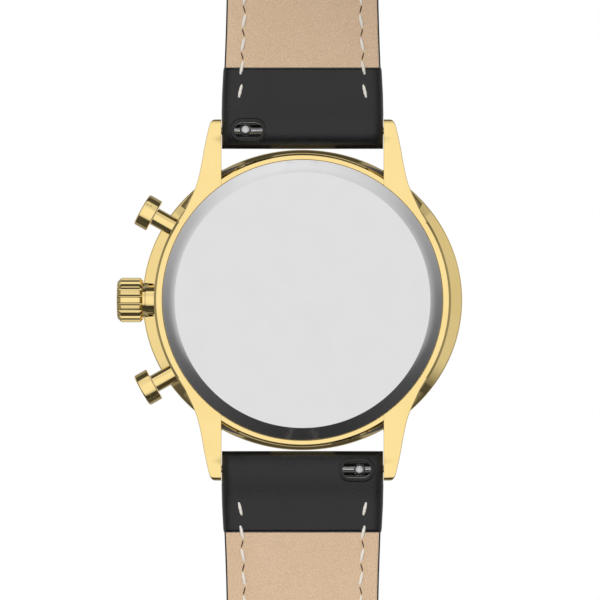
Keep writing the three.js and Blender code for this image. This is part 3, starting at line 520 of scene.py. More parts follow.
# Stations along a lug: distance from the dial's centre, width, back depth at the inner and
# outer edge, front depth.
LUG_STATIONS = [
    (9.6, 5.4, 0.97, 0.97, 7.0), (11.0, 4.55, 0.97, 0.97, 7.0), (12.2, 3.98, 0.97, 0.97, 7.0),
    (13.4, 3.42, 0.97, 0.97, 6.95), (14.6, 2.98, 0.97, 0.97, 6.85), (15.8, 2.68, 0.97, 0.97, 6.5),
    (16.8, 2.48, 0.97, 0.97, 6.2), (17.5, 2.34, 0.97, 0.965, 5.8), (18.0, 2.26, 1.0, 0.95, 5.5),
    (18.5, 2.17, 1.07, 0.9, 5.2), (19.1, 2.06, 1.07, 0.79, 4.95), (19.7, 1.93, 0.95, 0.68, 4.65),
    (20.2, 1.82, 0.76, 0.6, 4.3), (20.6, 1.72, 0.64, 0.56, 4.1), (21.0, 1.63, 0.58, 0.54, 3.85),
    (21.5, 1.5, 0.56, 0.54, 3.5), (21.9, 1.35, 0.6, 0.6, 3.2), (22.15, 1.19, 0.72, 0.74, 2.95),
    (22.3, 1.0, 0.98, 1.0, 2.75), (22.38, 0.8, 1.4, 1.4, 2.5),
]


def smooth_stations(stations, times):
    """More stations by a Catmull-Rom curve through the given ones."""
    result = []
    last = len(stations) - 1
    for i in range(last):
        window = [stations[max(0, min(last, i + k))] for k in (-1, 0, 1, 2)]
        for step in range(times):
            t = step / times
            row = []
            for a, b, c, d in zip(*window):
                slope = (c - a) * t
                square = (2 * a - 5 * b + 4 * c - d) * t * t
                cube = (3 * b - a - 3 * c + d) * t**3
                row.append(0.5 * (2 * b + slope + square + cube))
            result.append(tuple(row))
    result.append(stations[-1])
    return result


def lug(sign_x, sign_z):
    rows = []
    for z, width, inner_back, outer_back, front in smooth_stations(LUG_STATIONS, 3):
        bevel = min(0.1, width * 0.1)
        section = rounded([
            (LUG_INNER, inner_back, bevel * 0.6), (LUG_INNER + width, outer_back, bevel),
            (LUG_INNER + width, front, bevel * 2), (LUG_INNER, front, bevel),
        ], steps=5)
        rows.append([(sign_x * x, -depth, sign_z * z) for x, depth in section])
    return loft(rows)


def make_mid_case():
    obj = piece("mid_case_polished", [case_ring()], materials["gold"], None)
    for sign_x in (1, -1):
        for sign_z in (1, -1):
            part = tool("lug", lug(sign_x, sign_z))
            bore = tool("bore", rod(SEAT_RADIUS + 0.02, -3, 12, about_dial, LARGE))
            apply_boolean(part, bore, "DIFFERENCE")
            hole = tool("hole", rod(0.45, -11, 11, along_x(-2.2, sign_z * 21.0), 24))
            apply_boolean(part, hole, "DIFFERENCE")
            apply_boolean(obj, part, "UNION")
    crown_place = along_axis(0, CONTROL_DEPTH)
    cutters = [
        rod(1.82, 18.18, 24, crown_place, MEDIUM),
        rod(1.67, 15, 24, crown_place, MEDIUM),
        revolved([(0, 19.5), (2.2, 19.5), (2.55, 19.2), (3.1, 24), (0, 24)], MEDIUM, crown_place),
    ]
    for angle in (29.5, -29.5):
        profile = [(0, 15), (1.5, 15), (1.5, 18.42), (1.15, 18.42), (1.15, 24), (0, 24)]
        cutters.append(revolved(profile, MEDIUM, along_axis(angle, CONTROL_DEPTH)))
    for cutter in cutters:
        apply_boolean(obj, tool("cutter", cutter), "DIFFERENCE")
    shade(obj, 32)
    # The wall faces beside the lugs get the near-black gold as painted shade.
    obj.data.materials.append(materials["gold_painted_shade"])
    for polygon in obj.data.polygons:
        x, y, z = polygon.center / MM
        off = math.degrees(math.atan2(abs(x), abs(z)))
        on_painted_shade_wall = -5.4 < y < -1.36 and 18.0 < math.hypot(x, z) < 19.1 and abs(polygon.normal.y) < 0.45
        if on_painted_shade_wall and 13 < off < 33 and abs(x) < LUG_INNER - 0.01:
            polygon.material_index = 1
    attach(obj, "case")
    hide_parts("mid_case")


make_mid_case()

# ---- Case back ----

FLAT_RADIUS, BEVEL_DEPTH = 15.8, 0.9
bevel_profile = []
for i in range(13):
    across = i / 12
    bevel_profile.append(
        (FLAT_RADIUS + (17.34 - FLAT_RADIUS) * across, BEVEL_DEPTH * (0.86 * across + 0.14 * across**2))
    )
back_profile = rounded([
    (0, 0),
    *bevel_profile,
    (17.34, 1.9),
    (16.5, 1.9),
    (16.5, 2.3),
    (15.3, 2.3),
    (15.3, 1.3),
    (0, 1.3),
], steps=14)
case_back = piece(
    "case_back_turned", [revolved(back_profile, LARGE, about_dial)], materials["steel_back"], "case",
    "case_back", slot="steel_back", sharp=15
)
# The bevel ring gets the lighter copy of the steel, as painted light.
case_back.data.materials.append(materials["steel_bevel_painted_light"])
for polygon in case_back.data.polygons:
    off_flat = math.hypot(polygon.center.x, polygon.center.z) > (FLAT_RADIUS - 0.05) * MM
    if off_flat and polygon.center.y > -1.0 * MM:
        polygon.material_index = 1

# ---- Bezel, crystal and dial ----

bezel_profile = rounded([
    (16.6, 7.22), (18.5, 7.22, 0.1), (18.5, 8.2, 0.3), (18.0, 9.4, 0.5), (17.5, 9.9, 0.2),
    (17.28, 9.9, 0.05), (17.28, 8.98), (16.6, 8.98),
])
piece(
    "bezel_polished", [revolved(bezel_profile, LARGE, about_dial)], materials["gold"], "case", "bezel",
    slot="gold_case"
)
crystal_profile = rounded([(0, 9.0), (16.95, 9.0), (16.95, 10.4, 0.25), (0, 10.4)])
piece(
    "crystal_clear", [revolved(crystal_profile, LARGE, about_dial)], materials["crystal"], "case",
    "crystal", slot="crystal_glass"
)
gasket_profile = rounded([(16.97, 9.0), (17.26, 9.0), (17.26, 9.85, 0.05), (16.97, 9.85, 0.05)])
piece(
    "crystal_seal", [revolved(gasket_profile, LARGE, about_dial)], materials["gasket_rubber"], "case",
    "crystal_gasket", slot="gasket_rubber"
)
flange_profile = rounded([(15.4, 7.62), (16.5, 7.62), (16.5, 8.95), (16.2, 8.95, 0.05)])
piece(
    "flange_ring_sloped", [revolved(flange_profile, LARGE, about_dial)], materials["gold_hands"], "case",
    "inner_flange_ring", slot="gold_case"
)

DIAL_FRONT = 7.6
SUB_DIALS = {"hour24": (7.4, 0.0), "small_seconds": (0.0, -7.4), "chrono_minutes": (-7.4, 0.0)}
SUB_RADIUS, SUB_RECESS = 3.9, 0.15


def make_dial():
    obj = piece(
        "dial_plate",
        [revolved([(0.85, 7.2), (16.5, 7.2), (16.5, DIAL_FRONT), (0.85, DIAL_FRONT)], LARGE, about_dial)],
        materials["dial_face"], None
    )
    recesses, holes = [], []
    for x, z in SUB_DIALS.values():
        def place(radius, angle, depth, x=x, z=z):
            return about_dial(radius, angle, depth, x, z)

        profile = rounded([
            (0, DIAL_FRONT - SUB_RECESS), (SUB_RADIUS - 0.15, DIAL_FRONT - SUB_RECESS),
            (SUB_RADIUS, DIAL_FRONT + 0.01), (SUB_RADIUS, 9), (0, 9)
        ])
        recesses.append(revolved(profile, MEDIUM, place))
        holes.append(rod(0.35, 6, 9, place, 32))
    apply_boolean(obj, piece("recesses", recesses, materials["dial_face"], None), "DIFFERENCE")
    apply_boolean(obj, piece("holes", holes, materials["dial_face"], None), "DIFFERENCE")
    shade(obj, 25)
    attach(obj, "case")
    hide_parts("dial")


def bar_on_dial(radius_from, radius_to, width, angle, low, high, x=0.0, z=0.0, bevel=0.0):
    """A radial bar standing on the dial, with its top edges bevelled."""
    out = Vector((math.cos(angle), 0, math.sin(angle)))
    aside = Vector((-out.z, 0, out.x))
    rows = []
    for depth, inset in ((low, 0.0), (high - bevel, 0.0), (high, bevel)):
        half = width / 2 - inset
        near, far = radius_from + inset, radius_to - inset
        corners = [(near, -half), (far, -half), (far, half), (near, half)]
        rows.append([tuple(out * a + aside * b + Vector((x, -depth, z))) for a, b in corners])
    return loft(rows)


def ring_on_dial(inner, outer, low, high, x=0.0, z=0.0, segments=MEDIUM):
    def place(radius, angle, depth):
        return about_dial(radius, angle, depth, x, z)

    return revolved([(inner, low), (outer, low), (outer, high), (inner, high)], segments, place)


def numeral(text, height, x, z, depth):
    """A plain number, flat on the dial and read from in front, as (vertices, faces) in millimetres."""
    curve = bpy.data.curves.new("numeral", "FONT")
    curve.body = text
    curve.size = height
    curve.align_x = "CENTER"
    curve.align_y = "CENTER"
    curve.extrude = 0.006
    curve.resolution_u = 3
    obj = bpy.data.objects.new("numeral", curve)
    scene.collection.objects.link(obj)
    mesh = bpy.data.meshes.new_from_object(obj.evaluated_get(bpy.context.evaluated_depsgraph_get()))
    points = [(x + v.co.x, -depth - v.co.z, z + v.co.y) for v in mesh.vertices]
    faces = [tuple(p.vertices) for p in mesh.polygons]
    bpy.data.objects.remove(obj)
    return points, faces


def make_markings():
    applied, printed = [], []
    for hour in range(12):
        angle = TAU * hour / 12
        if hour == 3:
            for shift in (-0.45, 0.45):
                applied.append(
                    bar_on_dial(11.6, 14.2, 0.62, angle, DIAL_FRONT, DIAL_FRONT + 0.3, shift, 0, 0.1)
                )
        elif hour in (0, 6, 9):
            applied.append(bar_on_dial(12.2, 14.2, 0.7, angle, DIAL_FRONT, DIAL_FRONT + 0.3, bevel=0.1))
        else:
            applied.append(bar_on_dial(11.0, 14.2, 0.7, angle, DIAL_FRONT, DIAL_FRONT + 0.3, bevel=0.1))
    top = DIAL_FRONT + 0.012
    for minute in range(60):
        angle = TAU * minute / 60
        width = 0.2 if minute % 5 == 0 else 0.11
        printed.append(bar_on_dial(14.5, 15.2, width, angle, DIAL_FRONT - 0.02, top))
        printed.append(bar_on_dial(14.85, 15.2, 0.07, angle + TAU / 120, DIAL_FRONT - 0.02, top))
    floor = DIAL_FRONT - SUB_RECESS
    labels = {
        "hour24": ("24", "6", "12", "18"), "small_seconds": ("60", "15", "30", "45"),
        "chrono_minutes": ("60", "15", "30", "45")
    }
    for name, (x, z) in SUB_DIALS.items():
        count = 24 if name == "hour24" else 60
        for mark in range(count):
            long = mark % (count // 12) == 0
            printed.append(
                bar_on_dial(
                    3.1 if long else 3.3, 3.55, 0.1 if long else 0.05, TAU * mark / count, floor - 0.02,
                    floor + 0.012, x, z
                )
            )
        applied.append(
            ring_on_dial(SUB_RADIUS - 0.02, SUB_RADIUS + 0.16, DIAL_FRONT - 0.02, DIAL_FRONT + 0.08, x, z)
        )
        for i, text in enumerate(labels[name]):
            angle = math.pi / 2 - i * math.pi / 2
            printed.append(
                numeral(text, 0.95, x + 2.35 * math.cos(angle), z + 2.35 * math.sin(angle), floor + 0.008)
            )
    piece("dial_markers_applied", applied, materials["gold_hands"], "case", slot="gold_hands", sharp=20)
    piece("dial_print", printed, materials["print_black"], "case", slot="dial_face", sharp=20)


make_dial()
make_markings()

# ---- Hands ----


def hand_blade(length, tail, width, depth, thickness, x, z, tip=0.2):
    """A blade with a ridge along its middle, pointing to 12 o'clock."""
    rows = []
    outline = [
        (-tail, width * 0.35), (-tail + 0.05, width * 0.38), (0, width / 2), (length * 0.5, width * 0.46),
        (length * 0.86, width * 0.4), (length, width * tip * 0.4)
    ]
    for along, half in outline:
        rows.append([
            (x - half, -depth - thickness * 0.25, z + along), (x - half * 0.9, -depth, z + along),
            (x + half * 0.9, -depth, z + along), (x + half, -depth - thickness * 0.25, z + along),
            (x, -depth - thickness, z + along),
        ])
    return loft(rows)


def hub(profile, x=0.0, z=0.0):
    return revolved(rounded(profile), 64, lambda radius, angle, depth: about_dial(radius, angle, depth, x, z))


def make_hands():
    thick = 0.14
    hour = [
        hand_blade(8.6, 2.2, 1.2, 8.05, thick, 0, 0),
        hub([(0.48, 8.03), (1.05, 8.03), (1.05, 8.22, 0.05), (0.48, 8.22)]),
        hub([(0.48, 6.5), (0.75, 6.5), (0.75, 8.1), (0.48, 8.1)])
    ]
    minute = [
        hand_blade(13.2, 2.6, 1.0, 8.3, thick, 0, 0),
        hub([(0.24, 8.28), (0.85, 8.28), (0.85, 8.47, 0.05), (0.24, 8.47)]),
        hub([(0.24, 6.1), (0.42, 6.1), (0.42, 8.35), (0.24, 8.35)])
    ]
    seconds = [
        hand_blade(14.6, 4.4, 0.34, 8.55, 0.1, 0, 0),
        hub([(0, 8.53), (0.6, 8.53), (0.6, 8.68, 0.05), (0.25, 8.72, 0.03), (0, 8.72)]),
        hub([(0, 5.4), (0.18, 5.4), (0.18, 8.6), (0, 8.6)])
    ]
    piece("hour_hand_blade", hour, materials["gold_hands"], "hour_hand", slot="gold_hands", sharp=20)
    piece(
        "minute_hand_blade", minute, materials["gold_hands"], "minute_hand", "minute_hand",
        slot="gold_hands", sharp=20
    )
    piece(
        "chrono_seconds_blade", seconds, materials["gold_hands"], "chrono_seconds", "chrono_seconds_hand",
        slot="gold_hands", sharp=20
    )
    for body, (x, z) in SUB_DIALS.items():
        node = {
            "hour24": "hour24_hand", "small_seconds": "small_seconds_hand",
            "chrono_minutes": "chrono_minutes_hand"
        }[body]
        parts = [
            hand_blade(3.0, 0.9, 0.36, 7.75, 0.1, x, z),
            hub([(0, 7.73), (0.4, 7.73), (0.4, 7.88, 0.04), (0, 7.9)], x, z),
            hub([(0, 5.4), (0.18, 5.4), (0.18, 7.8), (0, 7.8)], x, z)
        ]
        piece(body + "_blade", parts, materials["gold_hands"], body, node, slot="gold_hands", sharp=20)


make_hands()

# ---- Crown and pushers ----

CROWN_RADIUS, CROWN_INNER, CROWN_OUTER, FLUTES, FLUTE_DEPTH = 2.775, 19.85, 23.05, 18, 0.26


def make_crown():
    place = along_axis(0, CONTROL_DEPTH)
    profile = rounded([
        (0.0, CROWN_OUTER), (CROWN_RADIUS - 0.5, CROWN_OUTER, 0.12),
        (CROWN_RADIUS, CROWN_OUTER - 0.5, 0.12), (CROWN_RADIUS, CROWN_INNER + 0.36, 0.12),
        (CROWN_RADIUS - 0.36, CROWN_INNER, 0.1), (2.15, CROWN_INNER, 0.03), (2.15, 20.85), (0.0, 20.85),
    ], steps=5)
    dense = []
    for i, (radius, along) in enumerate(profile):
        after = profile[(i + 1) % len(profile)]
        dense.append((radius, along))
        if min(radius, after[0]) > 2.7 and abs(along - after[1]) > 1:
            for k in range(1, 12):
                dense.append((radius, along + (after[1] - along) * k / 12))
    steps = FLUTES * 20
    rows = []
    for i in range(steps):
        angle = TAU * i / steps
        phase = (i % 20) / 20 * 2 - 1
        groove = max(0.0, 1 - ((abs(phase) - 1) / 0.36) ** 2) if abs(phase) > 0.64 else 0.0
        rows.append([])
        for radius, along in dense:
            outer_end = min(1.0, max(0.0, (CROWN_OUTER - 0.16 - along) / 0.25))
            ends = outer_end * min(1.0, max(0.0, (along - CROWN_INNER - 0.1) / 0.22))
            cut = FLUTE_DEPTH * groove * math.sqrt(max(0.0, ends)) if radius > 2.2 else 0.0
            rows[-1].append(place(min(radius, CROWN_RADIUS - cut) if radius > 2.2 else radius, angle, along))
    obj = piece(
        "crown_fluted", [loft(rows, ring=True)], materials["gold"], "crown", "crown", slot="gold_case",
        sharp=50
    )
    obj.visible_glossy = False


def make_tube():
    profile = rounded([
        (0.7, 17.0), (1.65, 17.0), (1.65, 18.2), (1.8, 18.2), (1.8, 19.6, 0.12), (1.65, 19.6),
        (1.65, 20.75, 0.08), (0.7, 20.75)
    ])
    piece(
        "crown_collar", [revolved(profile, MEDIUM, along_axis(0, CONTROL_DEPTH))], materials["gold"],
        "case", "crown_tube", slot="gold_case"
    )


def make_pushers():
    profile = rounded([
        (0, 23.0), (2.075, 23.0, 0.22), (2.075, 21.2, 0.14), (1.125, 21.2, 0.06), (1.125, 18.3),
        (0.9, 18.3), (0.9, 18.1), (1.125, 18.1), (1.125, 17.95), (0.6, 17.95), (0.6, 15.9), (0, 15.9),
    ], steps=5)
    tube = rounded([
        (0.65, 16.65), (1.48, 16.65), (1.48, 18.38, 0.04), (1.175, 18.38, 0.03), (1.175, 16.77),
        (0.65, 16.77)
    ])
    for name, angle in (("pusher_2", 29.5), ("pusher_4", -29.5)):
        place = along_axis(angle, CONTROL_DEPTH)
        button = piece(
            name + "_polished", [revolved(profile, 128, place)], materials["gold"], name,
            name + "_button", slot="gold_case"
        )
        button.visible_glossy = False
        piece(
            name + "_sleeve", [revolved(tube, 64, place)], materials["gold"], "case", name + "_tube",
            slot="gold_case"
        )


make_crown()
make_tube()
make_pushers()

# ---- Spring bars ----

BAR_DEPTH, BAR_Z = 2.2, 21.0
PIN_TIP = 10.8
TUBE_END, COLLAR_FROM, COLLAR_TO = 4.8, 8.7, 9.9


def knob_top(radius, rise, top):
    """The outline of the knob's domed top, from its edge to its middle."""
    points = []
    for degrees in (90, 80, 70, 60, 50, 40, 30, 20, 10, 0):
        angle = math.radians(degrees)
        points.append((radius * math.sin(angle), top + rise * (1 - math.cos(angle))))
    return points


def make_bars():
    for label, side, knob_side in (("12", 1, 1), ("6", -1, -1)):
        placer = along_x(-BAR_DEPTH, side * BAR_Z)

        def place(radius, angle, along, placer=placer, knob_side=knob_side):
            return placer(radius, angle, knob_side * along)

        tube = rounded([
            (0, -PIN_TIP), (0.4, -PIN_TIP, 0.12), (0.4, -9.9), (0.75, -9.9, 0.1),
            (0.75, TUBE_END, 0.1), (0.5, TUBE_END), (0.5, -2.16), (0, -2.16)
        ])
        piece(
            f"bar_{label}_barrel", [revolved(tube, 48, place)], materials["polished_steel"],
            "strap_" + label, f"bar_{label}_tube", slot="polished_steel"
        )
        pin = rounded([
            (0, 3.24), (0.34, 3.24), (0.34, COLLAR_FROM), (0.7, COLLAR_FROM, 0.1),
            (0.7, COLLAR_TO, 0.1), (0.4, COLLAR_TO), (0.4, PIN_TIP, 0.12), (0, PIN_TIP)
        ])
        top = BAR_DEPTH - 2.5
        dome = knob_top(0.7, 0.5, top)
        button = rounded([(0, 1.9), (0.45, 1.9), (0.45, top + 1.1, 0.1), (0.7, top + 0.85, 0.12)]) + dome
        x, z = knob_side * 7.04, side * BAR_Z
        head = revolved(
            button, 64, lambda radius, angle, depth, x=x, z=z: about_dial(radius, angle, depth, x, z)
        )
        piece(
            f"release_knob_{label}", [revolved(pin, 48, place), head], materials["polished_steel"],
            "release_pin_" + label, f"bar_{label}_release_pin", slot="polished_steel"
        )


make_bars()

# ---- Strap ----

STRAIGHT, FIRST_ARC, FIRST_RADIUS, BEND_RADIUS = 3.0, 14.0, 60.0, 43.4
BUCKLE_HALF, TAIL_HALF, END_RADIUS, FOLD_END = 75.0, 115.0, 2.25, 7.85
LINING_INSET, LINING_THICKNESS = 0.2, 0.8
FOLD_OVERHANG, FOLD_CORNER = 0.13, 0.6
KNOB_BAR_HOLE, KNOB_SLOT_HALF, KNOB_SLOT_NEAR, KNOB_SLOT_FAR = 0.85, 0.99, 4.9, 8.5
WIDTHS = [(-3, 20.0), (2.0, 20.0), (8.0, 19.35), (12.5, 19.0), (16.0, 18.8), (75.0, 16.0), (115.0, 16.0)]
OUTER = [(0, 2.25), (10.0, 2.0), (30.0, 1.5), (66.0, 1.2), (115.0, 1.1)]
INNER = [
    (0, 2.25), (1.2, 2.14), (2.4, 1.86), (3.4, 1.66), (4.6, 1.56), (7.0, 1.45), (12.0, 1.2), (66.0, 1.0),
    (115.0, 0.9)
]
TAIL_TIP, TIP_WIDTH = 13.0, 7.0
HOLES = [62.0 + 6.0 * i for i in range(7)]
HOLE_RADIUS = 1.0


def along_table(table, s):
    if s <= table[0][0]:
        return table[0][1]
    for (s0, v0), (s1, v1) in zip(table, table[1:]):
        if s <= s1:
            return v0 + (v1 - v0) * (s - s0) / (s1 - s0)
    return table[-1][1]


BEND_START = STRAIGHT + FIRST_ARC


def slope(s):
    if s <= STRAIGHT:
        return 0.0
    if s <= BEND_START:
        return (s - STRAIGHT) / FIRST_RADIUS
    return FIRST_ARC / FIRST_RADIUS + (s - BEND_START) / BEND_RADIUS


def middle(s):
    def arc(radius, a, b):
        return radius * (math.cos(a) - math.cos(b)), radius * (math.sin(b) - math.sin(a))

    if s <= STRAIGHT:
        return -BAR_DEPTH, BAR_Z + s
    y1, z1 = arc(FIRST_RADIUS, 0, slope(min(s, BEND_START)))
    y2, z2 = arc(BEND_RADIUS, slope(BEND_START), slope(s)) if s > BEND_START else (0.0, 0.0)
    return -BAR_DEPTH + y1 + y2, BAR_Z + STRAIGHT + z1 + z2


def strap_point(side, s, x, inward):
    y, z = middle(s)
    angle = slope(s)
    return (x, y + inward * math.cos(angle), side * (z - inward * math.sin(angle)))


def strap_direction(side, s):
    angle = slope(s)
    return Vector((0, math.sin(angle), side * math.cos(angle)))


def strap_inward(side, s):
    angle = slope(s)
    return Vector((0, math.cos(angle), -side * math.sin(angle)))


def lipped(radius, distance):
    return math.sqrt(max(0.0, radius**2 - distance**2))


def half_width(s):
    return along_table(WIDTHS, s) / 2


def folded(half):
    """The turned-over end is a little wider than the strap beyond it, and its corners are round."""

    def width(s):
        left = FOLD_END - s
        corner = math.sqrt(max(0.0, 1 - max(0.0, 1 - left / FOLD_CORNER) ** 2))
        extra = FOLD_OVERHANG * corner if left > 0 else 0.0
        return half(s) + extra * max(0.0, min(1.0, (s - 1) / 3.5))

    return width


def outer_at(s):
    return lipped(END_RADIUS, s) if s < 0 else along_table(OUTER, s)


def inner_at(s):
    return lipped(END_RADIUS, s) if s < 0 else along_table(INNER, s)


def tail_half(s):
    left = (TAIL_HALF - s) / TAIL_TIP
    if left >= 1:
        return half_width(s)
    blunt = TIP_WIDTH / along_table(WIDTHS, TAIL_HALF)
    return half_width(s) * (blunt + (1 - blunt) * math.sqrt(max(0.0, 1 - (1 - left) ** 2)))


def section(half, out, into, out_round, in_round, crown=0.0, steps=6):
    """A strap's cross-section, with its outer side crowned and its long edges rounded."""
    thickness = out + into
    out_round = min(out_round, thickness * 0.45)
    in_round = min(in_round, thickness * 0.4)
    points = rounded(
        [(-half, into, in_round), (-half, -out, out_round), (half, -out, out_round), (half, into, in_round)],
        steps
    )
    result = []
    for i, (x, inward) in enumerate(points):
        result.append((x, inward))
        after = points[(i + 1) % len(points)]
        if abs(after[0] - x) > half:
            for k in range(1, 24):
                across = x + (after[0] - x) * k / 24
                bulge = crown * (1 - (across / half) ** 4) if inward < 0 else 0.0
                result.append((across, inward - bulge))
    return result


def strap_loft(side, stations, half, outer, inner, out_round, in_round, crown=0.0):
    rows = []
    for s in stations:
        soft = in_round(s) if callable(in_round) else in_round
        points = section(half(s), outer(s), inner(s), out_round, soft, crown)
        rows.append([strap_point(side, s, x, inward) for x, inward in points])
    return loft(rows)


def spread(start, end, step):
    count = max(1, math.ceil((end - start) / step))
    return [start + (end - start) * i / count for i in range(count + 1)]


def round_end(radius):
    return [radius * math.sin(math.radians(a)) for a in (89, 84, 78, 70, 60, 50, 40, 30, 20, 10)]


def lug_end_stations():
    return [-d for d in round_end(END_RADIUS)] + spread(0, FOLD_END - 0.6, 0.7)


def folded_inner(s):
    """The turned-over end: full thickness, then a rounded step down to the glued-on lining."""
    base = inner_at(s)
    if s <= FOLD_END - 0.35:
        return base
    low = base - LINING_THICKNESS - 0.12
    share = min(1.0, (s - (FOLD_END - 0.35)) / 0.35)
    return low + (base - low) * math.sqrt(max(0.0, 1 - share**2))


def fold_stations():
    return [FOLD_END - 0.35 + 0.35 * math.sin(math.radians(a)) for a in (0, 15, 30, 45, 60, 72, 82, 90)]


def cut_strap(obj, cutters):
    for cutter in cutters:
        apply_boolean(obj, tool("cutter", cutter), "DIFFERENCE")
    shade(obj, 38)


def stadium_cutter(x0, x1, z, half_height, y0, y1):
    """A slot with round ends across the strap's back, for the quick-release knob."""
    radius = half_height
    outline = []
    for centre, start in ((x1 - radius, -90), (x0 + radius, 90)):
        for k in range(13):
            angle = math.radians(start + 180 * k / 12)
            outline.append((centre + radius * math.cos(angle), z + radius * math.sin(angle)))
    rows = [[(x, y, zz) for x, zz in outline] for y in (y0, y1)]
    return loft(rows)


def punched(side, s, radius):
    centre = Vector(strap_point(side, s, 0, 0))
    axis = strap_inward(side, s)
    aside = Vector((1, 0, 0))
    third = axis.cross(aside)

    def place(r, a, d):
        return tuple(centre + axis * d + aside * (r * math.cos(a)) + third * (r * math.sin(a)))

    return rod(radius, -4, 4, place, 40)


def fold_round(s):
    """The turned-over end is soft at its long edges. Beyond it the leather is cut square."""
    return 1.5 if s < FOLD_END - 0.1 else 0.12


def make_leather(name, body, side, knob_side, stations, half, outer, inner, extra, *nodes):
    obj = piece(
        name, [strap_loft(side, stations, folded(half), outer, inner, 0.75, fold_round, 0.12)],
        materials["strap_leather"], None
    )
    z = side * BAR_Z
    x0, x1 = sorted((knob_side * KNOB_SLOT_NEAR, knob_side * KNOB_SLOT_FAR))
    cutters = [
        rod(KNOB_BAR_HOLE, -12, 12, along_x(-BAR_DEPTH, z), 32),
        stadium_cutter(x0, x1, z, KNOB_SLOT_HALF, -BAR_DEPTH, 3.0),
        *extra,
    ]
    cut_strap(obj, cutters)
    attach(obj, body)
    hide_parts(*nodes)
    obj.visible_glossy = False
    return obj


def slot_edge(name, body, side, knob_side):
    """The slot's painted edge: a soft raised lip and the wall below it."""
    x0, x1 = sorted((knob_side * KNOB_SLOT_NEAR, knob_side * KNOB_SLOT_FAR))
    z = side * BAR_Z
    profile = rounded(
        [(0.96, -1.25), (0.96, 0.1, 0.05), (1.08, 0.17, 0.05), (1.34, 0.1, 0.1), (1.5, -0.08), (1.04, -1.25)]
    )
    rows = []
    for centre, start in ((x1 - KNOB_SLOT_HALF, -90), (x0 + KNOB_SLOT_HALF, 90)):
        for k in range(17):
            angle = math.radians(start + 180 * k / 16)
            rows.append([(centre + r * math.cos(angle), y, z + r * math.sin(angle)) for r, y in profile])
    piece(name, [loft(rows, ring=True)], materials["strap_leather"], body, slot="strap_leather", sharp=60)


LOOP_RADIUS = 1.6
LOOP_FROM = BUCKLE_HALF - 6


def loop_ease(s, plain):
    share = min(1.0, max(0.0, (s - LOOP_FROM) / 4))
    return plain + (LOOP_RADIUS - plain) * share


def buckle_outer(s):
    return lipped(LOOP_RADIUS, s - BUCKLE_HALF) if s > BUCKLE_HALF else loop_ease(s, outer_at(s))


def buckle_inner(s):
    if s > BUCKLE_HALF:
        return lipped(LOOP_RADIUS, s - BUCKLE_HALF)
    plain = folded_inner(s)
    return max(plain, loop_ease(s, plain))


BUCKLE_Y, BUCKLE_Z = middle(BUCKLE_HALF)
BUCKLE_ALONG = strap_direction(1, BUCKLE_HALF)
BUCKLE_INWARD = strap_inward(1, BUCKLE_HALF)


def at_buckle(x, along, outward):
    """A point of the buckle: along the strap from the bar, and outward, away from the wrist."""
    return tuple(Vector((x, BUCKLE_Y, BUCKLE_Z)) + BUCKLE_ALONG * along - BUCKLE_INWARD * outward)


def tongue_slot():
    rows = []
    for outward in (-3.0, 3.0):
        corners = ((-1.5, -3.2), (1.5, -3.2), (1.5, 3.0), (-1.5, 3.0))
        rows.append([at_buckle(x, along, outward) for x, along in corners])
    return loft(rows)


def make_straps():
    buckle_stations = lug_end_stations() + fold_stations()
    buckle_stations += spread(FOLD_END + 0.6, LOOP_FROM, 1.6) + spread(LOOP_FROM + 0.6, BUCKLE_HALF, 0.7)
    buckle_stations += [BUCKLE_HALF + d for d in reversed(round_end(LOOP_RADIUS))]
    buckle_cuts = [rod(0.65, -12, 12, along_x(BUCKLE_Y, BUCKLE_Z), 32), tongue_slot()]
    make_leather(
        "strap_12_outer", "strap_12", 1, 1, buckle_stations, half_width, buckle_outer, buckle_inner,
        buckle_cuts, "strap_12_leather"
    )
    tail_stations = lug_end_stations() + fold_stations() + spread(FOLD_END + 0.6, TAIL_HALF - TAIL_TIP, 1.6)
    tail_stations += [TAIL_HALF - TAIL_TIP * (1 - math.sin(math.radians(a))) for a in range(8, 86, 6)]
    tail_stations += [TAIL_HALF - 0.02, TAIL_HALF]
    holes = [punched(-1, s, HOLE_RADIUS) for s in HOLES]
    make_leather(
        "strap_6_outer", "strap_6", -1, -1, tail_stations, tail_half, outer_at, folded_inner, holes,
        "strap_6_leather"
    )

    def lining_half(s):
        return half_width(s) - LINING_INSET

    def lining_outer(s):
        return LINING_THICKNESS - inner_at(s)

    lining_12 = strap_loft(
        1, spread(FOLD_END + 0.03, LOOP_FROM - 0.3, 1.6), lining_half, lining_outer, inner_at, 0.05, 0.22
    )
    obj = piece(
        "strap_12_backing", [lining_12], materials["lining_leather"], "strap_12", "strap_12_lining",
        slot="lining_leather"
    )
    obj.visible_glossy = False
    last = TAIL_HALF - 1.2
    tip_stations = [s for s in tail_stations if TAIL_HALF - TAIL_TIP < s < last]
    stations = spread(FOLD_END + 0.03, TAIL_HALF - TAIL_TIP, 1.6) + tip_stations + [last]
    lining_6 = strap_loft(
        -1, stations, lambda s: tail_half(s) - LINING_INSET, lining_outer, inner_at, 0.05, 0.22
    )
    obj = piece("strap_6_backing", [lining_6], materials["lining_leather"], None)
    cut_strap(obj, [punched(-1, s, HOLE_RADIUS) for s in HOLES])
    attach(obj, "strap_6")
    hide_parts("strap_6_lining")
    obj.visible_glossy = False


make_straps()
slot_edge("knob_slot_edge_12", "strap_12", 1, 1)
slot_edge("knob_slot_edge_6", "strap_6", -1, -1)

# ---- Stitches ----

STITCH, PITCH, THREAD, THREAD_UNDER_KEEPERS = 1.75, 2.95, 0.19, 0.15


